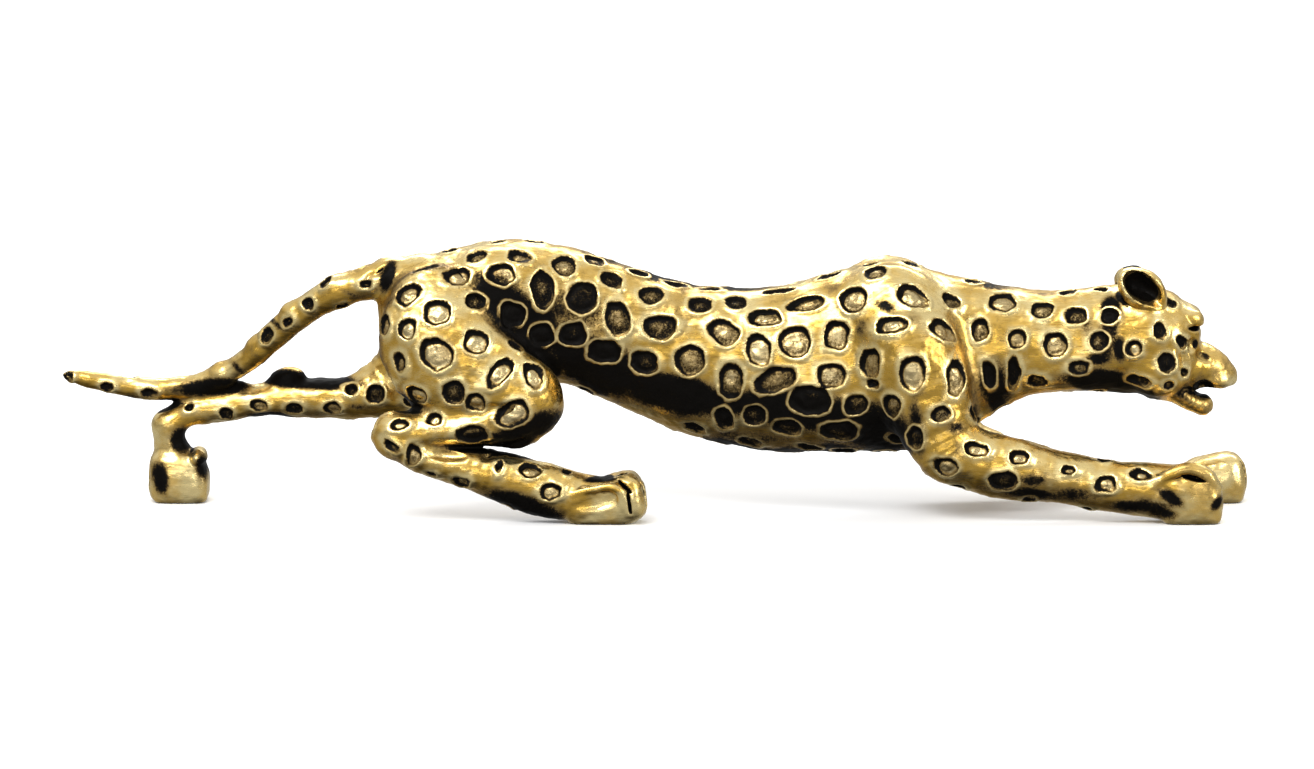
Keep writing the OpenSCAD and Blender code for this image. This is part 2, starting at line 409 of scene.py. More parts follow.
@dataclass
class Trunk:
    """Torso and neck."""

    sections: tuple[Row, ...] = (
        (-46.2, 37.6, 30, 2.6, 0), (-44.5, 40.4, 25.5, 5, 0), (-40, 42.4, 21.5, 7.2, 0),
        (-33, 44.4, 20.4, 8.2, 0), (-28, 45.3, 20.8, 8.3, 0), (-22.5, 45.7, 21.4, 8.2, 0),
        (-16, 44.8, 21.6, 7.8, 0.02), (-12, 43.9, 20.6, 7.6, 0.04), (-6, 41.9, 18, 7.6, 0.05),
        (0, 39.9, 15.2, 8, 0.06), (6, 38.3, 12.9, 8.6, 0.08), (12, 37.7, 11.4, 9.2, 0.08),
        (18, 37.5, 10.3, 9.6, 0.08), (23, 38.2, 10.1, 9.8, 0.06), (28, 39.7, 10, 9.8, 0.04),
        (33, 41, 10, 9.6, 0), (38, 42.2, 10.1, 9.2, -0.04), (41.5, 42.4, 10.2, 9, -0.06),
        (45, 41.2, 10.6, 8.8, -0.06), (49, 39.9, 11.8, 8.6, -0.04), (54, 39, 14.6, 8.1, 0),
        (58, 38.1, 17.4, 7.7, 0), (62, 37.5, 19.4, 7.4, 0), (66, 37.2, 20.1, 7.2, 0),
        (70, 37.3, 20.5, 7.1, 0), (74, 37.9, 20.6, 7.1, 0), (78, 38.2, 20.4, 7.1, 0),
        (81, 38, 20.8, 6.6, 0),
    )
    neck_face: float = 77.0

    def clay(self) -> Clay:
        """Models the trunk.

        Returns:
            The group.
        """
        steps = [add(Loft(self.sections), 0)]
        for side in Side:
            steps += [
                add(lump(side, (39, 5.6, 34.4), (8.5, 3.4, 7.5)), 3),
                add(lump(side, (30, 6, 21), (9, 4.4, 8)), 4),
                add(lump(side, (-26, 4.5, 38.5), (8, 4, 6)), 3),
                add(lump(side, (70, 4, 25.5), (7, 3.4, 4)), 2.5),
                let_in(lump(side, (52.5, 9.6, 34), (2.6, 2, 6), 20), 2),
            ]
        return Clay(steps, 1.8)


@dataclass
class HindRight:
    """The hind leg on the cat's right, folded under it."""

    side: Side = Side.RIGHT
    thigh: tuple[Row, ...] = (
        (-37.2, 7, 35.2, 7, 3.8), (-36.4, 8.8, 29.6, 9.5, 5), (-32.6, 9.8, 25.6, 9.5, 5.2),
        (-27.6, 10, 22.8, 8.4, 5), (-23.3, 10.2, 20.2, 7.5, 4.7),
    )
    shank: tuple[Row, ...] = (
        (-24, 10.2, 17.4, 4.6, 4.6), (-33, 10.5, 15.9, 3.5, 4.1), (-43.2, 10.6, 14.6, 3.5, 3.8),
    )
    foot: tuple[Row, ...] = (
        (-43.2, 10.6, 13.6, 2.8, 3.6), (-38.5, 10.6, 11, 3, 3.7), (-33, 10.7, 9.5, 3.3, 3.8),
        (-28, 10.7, 8.2, 3.9, 4), (-22.5, 10.7, 6.4, 4.4, 4.1), (-17, 10.7, 4.9, 4.5, 4.1),
        (-12, 10.8, 3.9, 3.9, 4.2), (-8, 10.8, 3.5, 3.7, 4.2),
    )
    ridge: tuple[Row, ...] = (
        (-16, 13.9, 4.4, 0.5, 0.5), (-11.5, 14.6, 5.7, 0.7, 0.7), (-7.4, 14.9, 6.4, 0.7, 0.7),
        (-5.6, 14.9, 5.4, 0.7, 0.7), (-5.3, 14.8, 3, 0.5, 0.5),
    )

    def clay(self) -> Clay:
        """Models the leg.

        Returns:
            The group.
        """
        s = self.side
        return Clay([
            add(Limb(put(self.thigh, s)), 0),
            add(lump(s, (-21.6, 10.4, 20.4), (5.9, 4.6, 6.2)), 2),
            add(Limb(put(self.shank, s)), 1.6),
            add(lump(s, (-43.4, 10.4, 14.2), (3.3, 3.4, 4), 20), 1.2),
            let_in(lump(s, (-45.6, 11.5, 21.6), (2.4, 5, 1.6), -25), 1.4),
            add(Limb(put(self.foot, s)), 0.7),
            let_in(lump(s, (-34.2, 14.5, 11.7), (3.4, 1.5, 1.1), -4), 0.5),
            let_in(lump(s, (-24.5, 14.4, 12.6), (4.5, 3, 1), 22), 0.6),
            let_in(lump(s, (-31, 15.1, 18.6), (7.5, 1.1, 1.1), 10), 0.9),
            add(lump(s, (-4.9, 10.8, 4), (3.7, 4.4, 4.2), 8, 0, 3), 0.5),
            let_in(lump(s, (-9.4, 15.3, 3.7), (4.6, 1.2, 1.4), 14), 0.5),
            add(Limb(put(self.ridge, s)), 0.5),
            let_in(lump(s, (-5.1, 14.8, 6.6), (2, 1.2, 0.25), -42), 0.3),
            let_in(lump(s, (-4.1, 15.1, 3.6), (0.25, 1, 2), 8), 0.3),
            let_in(lump(s, (-1.2, 10.8, 7.9), (2.4, 6, 1.4), -45), 0.4),
            let_in(lump(s, (-7.8, 10.8, 8.4), (2.2, 6, 0.9)), 0.5),
            sole(s, -9, 10.6, 5.4, 3.8),
            *paw_toes(s, -0.9, 10.8, 5.2),
        ], 2.6)


def paw_toes(side: Side, front: float, across: float, high: float) -> list[Step]:
    """Cuts the gaps between four toes.

    Args:
        side: Side of the cat.
        front: x near the front of the paw.
        across: y of the middle of the paw.
        high: z of the top of the toes.

    Returns:
        The steps that cut the gaps.
    """
    gaps = [(front, across + off, high) for off in (-2.1, 0, 2.1)]
    return [let_in(lump(side, middle, (2.4, 0.35, 3.6), 12), 0.4) for middle in gaps]


def sole(side: Side, x: float, y: float, length: float, width: float) -> Step:
    """Fills the underside of a paw out to a flat sole, which holds the threaded insert."""
    return add(lump(side, (x, y, 2.5), (length, width, 3.1), 0, 0, 5), 1)


@dataclass
class HindLeft:
    """The hind leg on the cat's left, stretched out behind it."""

    side: Side = Side.LEFT
    thigh: tuple[Row, ...] = (
        (-36.6, 8.4, 35, 6.8, 4), (-37, 9.4, 28.6, 8.6, 5.6), (-41.5, 10, 22.4, 5.8, 4.6),
        (-47, 10.2, 19, 4, 4.1),
    )
    shank: tuple[Row, ...] = (
        (-44, 10.2, 18.6, 4, 4.2), (-52, 10.3, 17.4, 3.5, 3.8), (-59, 10.4, 17.4, 3.3, 3.5),
        (-66, 10.5, 17.1, 2.8, 3.2), (-73, 10.5, 16, 2.6, 3), (-79, 10.5, 14.6, 2.7, 3),
        (-82, 10.5, 12.6, 2.6, 3),
    )
    foot: tuple[Row, ...] = (
        (-82.3, 10.5, 12.8, 2.6, 3), (-81.6, 10.5, 9.6, 2.9, 3.2), (-80.8, 10.5, 6.4, 3.3, 3.6),
    )

    def clay(self) -> Clay:
        """Models the leg.

        Returns:
            The group.
        """
        s = self.side
        return Clay([
            add(Limb(put(self.thigh, s)), 0),
            add(Limb(put(self.shank, s)), 1.6),
            add(lump(s, (-62, 10.4, 20.4), (3.2, 2.4, 2.2), 18), 1.2),
            add(Limb(put(self.foot, s)), 1),
            add(lump(s, (-80.6, 10.5, 4), (4.9, 4.3, 4.6), -5, 0, 3.4), 0.8),
            let_in(lump(s, (-77.2, 10.5, 11), (2, 6, 1.8), 30), 0.8),
            let_in(lump(s, (-79.4, 6.6, 10), (2, 1.4, 1.7), -35), 0.6),
            add(lump(s, (-77, 9, 7.6), (1.8, 3.4, 1.6), 30), 0.5),
            add(lump(s, (-74, 10, 18.6), (6.5, 1.7, 2.2), 2), 0.8),
            sole(s, -80, 10.5, 4.6, 4),
            *paw_toes(s, -86.4, 10.5, 3.4),
        ], 1.4)


@dataclass
class Foreleg:
    """A front leg: the shoulder and upper leg, then the forearm and paw in rows of their own."""

    side: Side
    forearm: tuple[Row, ...]
    paw: Row
    paw_size: Row
    twist: tuple[Row, ...] = ()
    upper: tuple[Row, ...] = (
        (41, 6.2, 32.6, 7, 3.6), (42.2, 8.8, 28.8, 8, 4.9), (45, 9.6, 21.8, 7.6, 5), (48, 10, 14, 6, 4.8),
        (49.6, 10.1, 11.4, 4.7, 4.5),
    )

    def clay(self) -> Clay:
        """Models the leg.

        Returns:
            The group.
        """
        s = self.side
        x, y, z = self.paw
        steps = [
            add(Limb(put(self.upper, s)), 0),
            add(lump(s, (42, 9.4, 28.4), (5.6, 4.6, 6)), 2.5),
            add(Limb(put(self.forearm, s)), 1.8),
            add(lump(s, self.paw, self.paw_size, 10, 0, 3.2), 1.2),
        ]
        if self.twist:
            steps += [
                add(Limb(put(self.twist, s)), 0.7),
                add(lump(s, (x - 2.9, y + 3.5, z + 1.5), (2.4, 1.2, 1.3), -18), 0.6),
                let_in(lump(s, (x - 0.3, y + 3.9, z + 3.3), (2.2, 1.2, 0.42), -16), 0.3),
            ]
        steps.append(sole(s, x - 0.4, 10.5, 5, 4))
        return Clay(steps + paw_toes(s, x + 5.4, y, z + 1.4), 3)


@dataclass
class ForeRight(Foreleg):
    """The front leg on the cat's right, with a tendon twisted over its paw."""

    side: Side = Side.RIGHT
    forearm: tuple[Row, ...] = (
        (49.6, 10.2, 11.4, 4.8, 4.6), (57.5, 10.3, 9.2, 5.4, 4.4), (64, 10.4, 7.9, 4.7, 4.1),
        (70, 10.4, 6.9, 4.3, 4), (76, 10.5, 5.8, 4.3, 4), (82, 10.5, 5.2, 4.6, 4.2),
        (88, 10.6, 4.6, 4.6, 4.3),
    )
    paw: Row = (90.2, 10.6, 4.5)
    paw_size: Row = (4.5, 4.4, 4.5)
    twist: tuple[Row, ...] = (
        (82, 13.6, 5.6, 0.6, 0.6), (85.6, 14.2, 8.2, 1, 1), (89, 13.9, 9.3, 1.1, 1.1),
        (92.2, 13.9, 8.2, 1, 1), (94.2, 13.4, 6, 0.6, 0.6),
    )


@dataclass
class ForeLeft(Foreleg):
    """The front leg on the cat's left, lower and farther forward."""

    side: Side = Side.LEFT
    forearm: tuple[Row, ...] = (
        (49.6, 10.2, 9.8, 5.2, 4.6), (57, 10.3, 7.2, 4.5, 4.3), (65, 10.4, 5.2, 3.7, 4),
        (72, 10.4, 4, 3.1, 3.8), (80, 10.5, 3, 2.7, 3.7), (87, 10.5, 2.9, 2.8, 3.9),
        (92, 10.5, 3.2, 3.3, 4.2),
    )
    paw: Row = (95.2, 10.5, 3.7)
    paw_size: Row = (5, 4.4, 4)


@dataclass
class Tail:
    """The tail, which rests on the stretched hind leg."""

    rows: tuple[Row, ...] = (
        (-39, 0, 40.2, 3.4, 3.4), (-43.5, 0, 39, 3.2, 3.2), (-48.5, 0.2, 38.4, 2.9, 2.9),
        (-54.4, 0.9, 36.2, 2.6, 2.6), (-59.4, 2.4, 33, 2.4, 2.4), (-64.4, 4.6, 28.4, 2.2, 2.2),
        (-69.5, 7, 23.7, 2, 2), (-75.3, 9.2, 20.4, 1.9, 2), (-82, 10, 18.9, 1.9, 1.9),
        (-89.6, 9.6, 19.6, 1.7, 1.7), (-95.5, 9, 20.7, 1.4, 1.4), (-99, 8.5, 21.5, 0.9, 1),
    )
    knuckles: tuple[Row, ...] = (
        (-53, 0.4, 37.4, 2.5), (-60.5, 2.6, 32.6, 2.3), (-66.5, 5.4, 26.6, 2.1), (-72.6, 8, 21.8, 2.1),
    )

    def clay(self) -> Clay:
        """Models the tail.

        Returns:
            The group.
        """
        return Clay([
            add(Limb(self.rows, 4), 0),
            add(Lump((-44.2, 0, 39.4), (3, 3.3, 3.3), 10), 1.6),
            let_in(Lump((-45.6, -3.4, 41), (0.5, 1.2, 1.6), -50), 0.4),
            let_in(Lump((-47.6, -3.1, 40), (0.5, 1, 1.4), -40), 0.4),
            *(add(Lump((x, y, z), (2.2, r, r), -40), 0.8) for x, y, z, r in self.knuckles),
        ], 1.3)


@dataclass
class Head:
    """Skull, brow, muzzle and cheeks."""

    skull: tuple[Row, ...] = (
        (74, 36.5, 22, 6, 0), (77, 37.6, 20.8, 7, 0), (80, 38.4, 20, 7.9, 0), (83, 38.4, 19.6, 8.1, 0.02),
        (86, 37.2, 19.6, 7.6, 0), (88.5, 35.6, 20.6, 6.6, 0), (90.2, 34, 22.4, 5.2, 0),
        (91.2, 33, 24.6, 3.6, 0),
    )

    muzzle: tuple[Row, ...] = (
        (86, 0, 24.8, 4.4, 5.2), (90, 0, 24.6, 4.3, 4.7), (93, 0, 24.2, 3.5, 3.7), (95.2, 0, 23.2, 2.5, 2.8),
        (96.4, 0, 22.5, 1.6, 2),
    )

    def clay(self) -> Clay:
        """Models the head.

        Returns:
            The group.
        """
        steps = [
            add(Loft(self.skull, 2.1), 0),
            add(Limb(self.muzzle), 1),
            add(Lump((89.6, 0, 33.3), (2.4, 4.3, 1.6), -30), 0.7),
            add(Lump((90.2, 0, 30), (1.4, 3.6, 1.5)), 0.6),
        ]
        for side in Side:
            steps += [
                add(lump(side, (90.3, 2.6, 32.8), (1.7, 1.7, 1.5), -25), 0.4),
                let_in(lump(side, (91.6, 4, 31.3), (2.6, 2.6, 0.45), -6), 0.4),
                add(lump(side, (84.4, 4.4, 24.8), (5, 3.6, 4.8)), 1.4),
                let_in(lump(side, (90.6, 5.6, 28.9), (1.6, 1.5, 1.5), -40), 0.5),
                let_in(lump(side, (92.2, 4.2, 26.8), (1.6, 1.1, 0.9), -32), 0.4),
                let_in(lump(side, (88.7, 7.2, 25.5), (0.8, 1.5, 4), 8), 1),
                add(lump(side, (94.4, 1.9, 22.5), (2.4, 1.8, 1.6), -8), 0.6),
                let_in(lump(side, (92, 3.6, 21), (1.5, 2.6, 1.35)), 0.4),
            ]
        steps += [
            let_in(Lump((98, 0, 21.6), (1.6, 0.3, 1.8)), 0.3),
            let_in(Lump((94.6, 0, 20.4), (3.6, 2.4, 0.7)), 0.4),
        ]
        return Clay(steps, 1.2)


@dataclass
class Jaw:
    """The lower jaw, dropped open."""

    rows: tuple[Row, ...] = (
        (83.6, 0, 21.4, 2.4, 4.6), (87.4, 0, 20.4, 2, 4), (90, 0, 18.8, 1.8, 3), (91.6, 0, 18, 1.6, 2.3),
    )

    def clay(self) -> Clay:
        """Models the jaw.

        Returns:
            The group.
        """
        chin = Lump((92.1, 0, 17.9), (1.8, 2.4, 1.8), 20)
        hollow = Lump((90.4, 0, 20.6), (2.6, 1.6, 1))
        return Clay([add(Limb(self.rows), 0), add(chin, 0.4), let_in(hollow, 0.4)], 0.7)


@dataclass
class Ear:
    """A cupped ear, with its hollow turned out and forward."""

    side: Side
    middle: Row

    def clay(self) -> Clay:
        """Models the ear.

        Returns:
            The group.
        """
        x, y, z = self.middle
        s = self.side
        return Clay([
            add(lump(s, (x, y, z), (4.8, 2.7, 3.3), -38, -14), 0),
            add(lump(s, (x + 1.6, y - 0.4, z - 1.9), (3, 2, 2.2), -46, -14), 0.8),
            let_in(lump(s, (x + 0.2, y + 2.4, z + 0.5), (4, 3.7, 2.4), -37, -14), 0.3),
            let_in(lump(s, (x + 2.2, y + 2, z - 1.5), (2, 1.6, 1), -40, -14), 0.4),
        ], 0.5)


# --------------------------------------------------------------------------------------------------
# The whole figure, and the castings that it is divided into
# --------------------------------------------------------------------------------------------------


@dataclass(frozen=True)
class Casting:
    """One cast piece: its name, the node it stands for, the clay it comes from, and its extra limits."""

    name: str
    node: str
    clay: str
    half: int = 0  # Side of the joint on the middle plane, or 0.
    insert: str = ""  # Node of the threaded insert in its sole.
    finest: float = 0.0  # The finest pitch that keeps its mesh light, in millimetres.


CASTINGS = (
    Casting("torso_right_casting", "torso_right_half", "trunk", -1, finest=TORSO_PITCH),
    Casting("torso_left_casting", "torso_left_half", "trunk", 1, finest=TORSO_PITCH),
    Casting("head_casting", "head", "head"),
    Casting("jaw_casting", "lower_jaw", "jaw"),
    Casting("right_ear_casting", "right_ear", "right_ear"),
    Casting("left_ear_casting", "left_ear", "left_ear"),
    Casting("front_right_leg_casting", "front_right_leg", "front_right", 0, "front_right_insert"),
    Casting("front_left_leg_casting", "front_left_leg", "front_left", 0, "front_left_insert"),
    Casting("hind_right_leg_casting", "hind_right_leg", "hind_right", 0, "hind_right_insert"),
    Casting("hind_left_leg_casting", "hind_left_leg", "hind_left", 0, "hind_left_insert"),
    Casting("tail_casting", "tail", "tail"),
)


@dataclass
class Figure:
    """The whole cat in clay."""

    seam: float = 0.012  # Gap between neighbouring castings.
    reach: float = 7.0  # A group farther off than this isn't measured.
    trunk: Trunk = field(default_factory=Trunk)

    def __post_init__(self) -> None:
        """Models each group."""
        self.groups: dict[str, Clay] = {
            "trunk": self.trunk.clay(),
            "head": Head().clay(),
            "jaw": Jaw().clay(),
            "right_ear": Ear(Side.RIGHT, (81.5, 5.2, 38.2)).clay(),
            "left_ear": Ear(Side.LEFT, (81.5, 5.2, 36.7)).clay(),
            "front_right": ForeRight().clay(),
            "front_left": ForeLeft().clay(),
            "hind_right": HindRight().clay(),
            "hind_left": HindLeft().clay(),
            "tail": Tail().clay(),
        }

    def measure(self, points: Array) -> dict[str, Array]:
        """Gives the distance to each group.

        Args:
            points: Places to measure, one to a row.

        Returns:
            The distances by the group's name.
        """
        out = {}
        for name, clay in self.groups.items():
            low, high = clay.box()
            near = ((points > low - self.reach) & (points < high + self.reach)).all(1)
            d = np.full(len(points), self.reach)
            if near.any():
                d[near] = clay.distance(points[near])
            out[name] = d
        return out

    def skin_of(self, groups: dict[str, Array]) -> Array:
        """Joins the groups' distances into one skin.

        Args:
            groups: The distances by the group's name.

        Returns:
            One distance for each point.
        """
        out = groups["trunk"]
        for name, clay in self.groups.items():
            if name != "trunk":
                out = soft_min(out, groups[name], clay.fillet)
        return out

    def skin(self, points: Array) -> Array:
        """Gives the distance to the whole cat."""
        return self.skin_of(self.measure(points))

    def both(self, casting: Casting, points: Array, bore: Bore | None) -> tuple[Array, Array]:
        """Gives the distances to the skin and to the limits of one casting.

        Args:
            casting: The casting.
            points: Places to measure.
            bore: The insert's hole, where it has one.

        Returns:
            The distance to the skin, and the distance to the casting's own limits.
        """
        groups = self.measure(points)
        face = points[:, 0] - self.trunk.neck_face
        skin = self.skin_of(groups)
        claims = dict(groups)
        claims["trunk"] = np.maximum(groups["trunk"], face)
        claims["head"] = np.maximum(groups["head"], -face)
        own = claims.pop(casting.clay)
        others = np.min(list(claims.values()), axis=0)
        limit = own - others + self.seam
        if casting.half:
            limit = np.maximum(limit, self.seam / 2 - casting.half * points[:, 1])
        if bore is not None:
            limit = np.maximum(np.maximum(limit, -points[:, 2]), -bore.distance(points))
        return skin, limit


# --------------------------------------------------------------------------------------------------
# From distances to a mesh
# --------------------------------------------------------------------------------------------------

CORNERS = np.array([(i, j, k) for i in (0, 1) for j in (0, 1) for k in (0, 1)])
CELL_EDGES = [(a, b) for a in range(8) for b in range(a + 1, 8) if np.abs(CORNERS[a] - CORNERS[b]).sum() == 1]
TETRAHEDRON = np.array([(1, -1, -1), (-1, -1, 1), (-1, 1, -1), (1, 1, 1)], dtype=float)
Pair = Callable[[Array], tuple[Array, Array]]


def in_batches(work: Pair, points: Array, size: int = 40000) -> tuple[Array, Array]:
    """Runs a measuring function over many points, a batch at a time, several batches at once.

    Args:
        work: The measuring function.
        points: Places to measure, one to a row.
        size: Points to a batch.

    Returns:
        The function's two distances for each point.
    """
    with ThreadPoolExecutor(WORKERS) as pool:
        parts = list(pool.map(work, [points[i:i + size] for i in range(0, len(points), size)]))
    return np.concatenate([p[0] for p in parts]), np.concatenate([p[1] for p in parts])


@dataclass
class Net:
    """Wraps a closed net of four-sided faces round the solid where both distances are negative."""

    work: Pair
    low: Array
    high: Array
    pitch: float
    block: int = 4  # Lattice steps to one coarse step.
    margin: float = 1.7  # Coarse steps off the surface that are measured finely.
    stride: float = 0.7  # The farthest a vertex moves at a time, in pitches.

    def lattice(self) -> tuple[Array, Array, Array]:
        """Measures the lattice, finely only near the surface.

        Returns:
            The lowest corner, and the two distances at each lattice point.
        """
        step = self.pitch * self.block
        start = np.floor(self.low / step) * step - step
        cells = np.ceil((self.high - start) / step).astype(int) + 1
        coarse_axes = [start[i] + step * np.arange(cells[i] + 1) for i in range(3)]
        coarse = np.stack(np.meshgrid(*coarse_axes, indexing="ij"), -1).reshape(-1, 3)
        a, b = (v.reshape(cells + 1) for v in in_batches(self.work, coarse))
        near = np.abs(np.maximum(a, b)) < step * self.margin
        busy = np.zeros(cells, bool)
        for i, j, k in CORNERS:
            busy |= near[i:i + cells[0], j:j + cells[1], k:k + cells[2]]
        fine = busy.repeat(self.block, 0).repeat(self.block, 1).repeat(self.block, 2)
        wanted = np.zeros(cells * self.block + 1, bool)
        for i, j, k in CORNERS:
            wanted[i:i + fine.shape[0], j:j + fine.shape[1], k:k + fine.shape[2]] |= fine
        spread = [np.minimum(np.arange(n * self.block + 1) // self.block, n) for n in cells]
        first, second = (v[np.ix_(*spread)].astype(np.float32) for v in (a, b))
        where = np.argwhere(wanted)
        va, vb = in_batches(self.work, start + where * self.pitch)
        first[wanted], second[wanted] = va, vb
        return start, first, second

    def wrap(self) -> tuple[Array, Array, Array]:
        """Wraps the net.

        Returns:
            The vertices, the faces, and which vertices lie where the skin meets a limit.
        """
        start, first, second = self.lattice()
        inside = np.maximum(first, second) < 0
        n = np.array(inside.shape) - 1

        count = sum(inside[i:i + n[0], j:j + n[1], k:k + n[2]].astype(np.int8) for i, j, k in CORNERS)
        cell = np.argwhere((count > 0) & (count < 8))
        ids = np.full(n, -1, np.int64)
        ids[tuple(cell.T)] = np.arange(len(cell))
        at = [tuple((cell + c).T) for c in CORNERS]
        fa = np.stack([first[i] for i in at], 1).astype(float)
        fb = np.stack([second[i] for i in at], 1).astype(float)
        both = np.maximum(fa, fb)
        total, hits = np.zeros((len(cell), 3)), np.zeros(len(cell))
        for i, j in CELL_EDGES:
            cross = (both[:, i] < 0) != (both[:, j] < 0)
            t = both[:, i] / np.where(cross, both[:, i] - both[:, j], 1.0)
            point = CORNERS[i] + t[:, None] * (CORNERS[j] - CORNERS[i])
            total += np.where(cross[:, None], point, 0.0)
            hits += cross
        vertices = start + (cell + total / hits[:, None]) * self.pitch
        crease = (fa.min(1) < 0) & (fa.max(1) > 0) & (fb.min(1) < 0) & (fb.max(1) > 0)
        faces = [self.faces_along(axis, inside, ids) for axis in range(3)]
        return vertices, np.concatenate(faces), crease

    @staticmethod
    def faces_along(axis: int, inside: Array, ids: Array) -> Array:
        """Makes the faces that cross the lattice edges along one axis.

        Args:
            axis: The axis.
            inside: Which lattice points are inside the solid.
            ids: The vertex in each lattice cell.

        Returns:
            The faces, each wound so that it faces outwards.
        """
        side = [a for a in range(3) if a != axis]
        head = [slice(None)] * 3
        tail = [slice(None)] * 3
        head[axis], tail[axis] = slice(1, None), slice(None, -1)
        for a in side:
            head[a] = tail[a] = slice(1, -1)
        starts, ends = inside[tuple(tail)], inside[tuple(head)]
        out = []
        for outward in (False, True):
            where = np.argwhere((starts != ends) & (starts == outward))
            where[:, side] += 1
            around = []
            for du, dv in ((-1, -1), (0, -1), (0, 0), (-1, 0)):
                c = where.copy()
                c[:, side[0]] += du
                c[:, side[1]] += dv
                around.append(ids[tuple(c.T)])
            quad = np.stack(around, 1)
            out.append(quad if outward == (axis != 1) else quad[:, ::-1])
        return np.concatenate(out)

    def slopes(self, points: Array, step: float = 0.04) -> tuple[Array, Array]:
        """Gives the directions in which the two distances grow fastest.

        Args:
            points: Places to measure, one to a row.
            step: How far off each point it measures.

        Returns:
            The two slopes at each point.
        """
        a, b = np.zeros_like(points), np.zeros_like(points)
        for d in TETRAHEDRON:
            va, vb = in_batches(self.work, points + step * d)
            a += va[:, None] * d
            b += vb[:, None] * d
        return a / (4 * step), b / (4 * step)

    def settle(self, points: Array, crease: Array, rounds: int = 2) -> tuple[Array, Array, Array]:
        """Moves the vertices onto the true surface, and those of a crease onto both surfaces.

        Args:
            points: Vertices of the net.
            crease: Which of them lie where the skin meets a limit.
            rounds: How many times each is moved.

        Returns:
            The vertices, the outward direction of the skin at each, and 1 for each that lies on the skin.
        """
        for _ in range(rounds):
            a, b = in_batches(self.work, points)
            ga, gb = self.slopes(points)
            aa, bb, ab = (np.einsum("ij,ij->i", p, q) for p, q in ((ga, ga), (gb, gb), (ga, gb)))
            on_a = a >= b
            gain = np.where(on_a, a / np.maximum(aa, 0.05), b / np.maximum(bb, 0.05))
            one = -gain[:, None] * np.where(on_a[:, None], ga, gb)
            det = np.maximum(aa * bb - ab * ab, 1e-3)
            la, lb = (a * bb - b * ab) / det, (b * aa - a * ab) / det
            two = -(la[:, None] * ga + lb[:, None] * gb)
            move = np.where(crease[:, None], two, one)
            far = np.linalg.norm(move, axis=1, keepdims=True)
            points = points + move * np.minimum(1.0, self.stride * self.pitch / np.maximum(far, 1e-9))
        a, b = in_batches(self.work, points)
        ga, _ = self.slopes(points)
        out = ga / np.maximum(np.linalg.norm(ga, axis=1, keepdims=True), 1e-6)
        soles = np.clip((points[:, 2] - 0.1) / 0.8, 0, 1)  # Nought on a flat sole, which stays smooth.
        skin = np.where(crease | (np.abs(a) < 0.02), 0.02 + 0.98 * soles, 0.0)
        return points, out, skin


# --------------------------------------------------------------------------------------------------
# The coat: pressed spots and patches of patina
# --------------------------------------------------------------------------------------------------

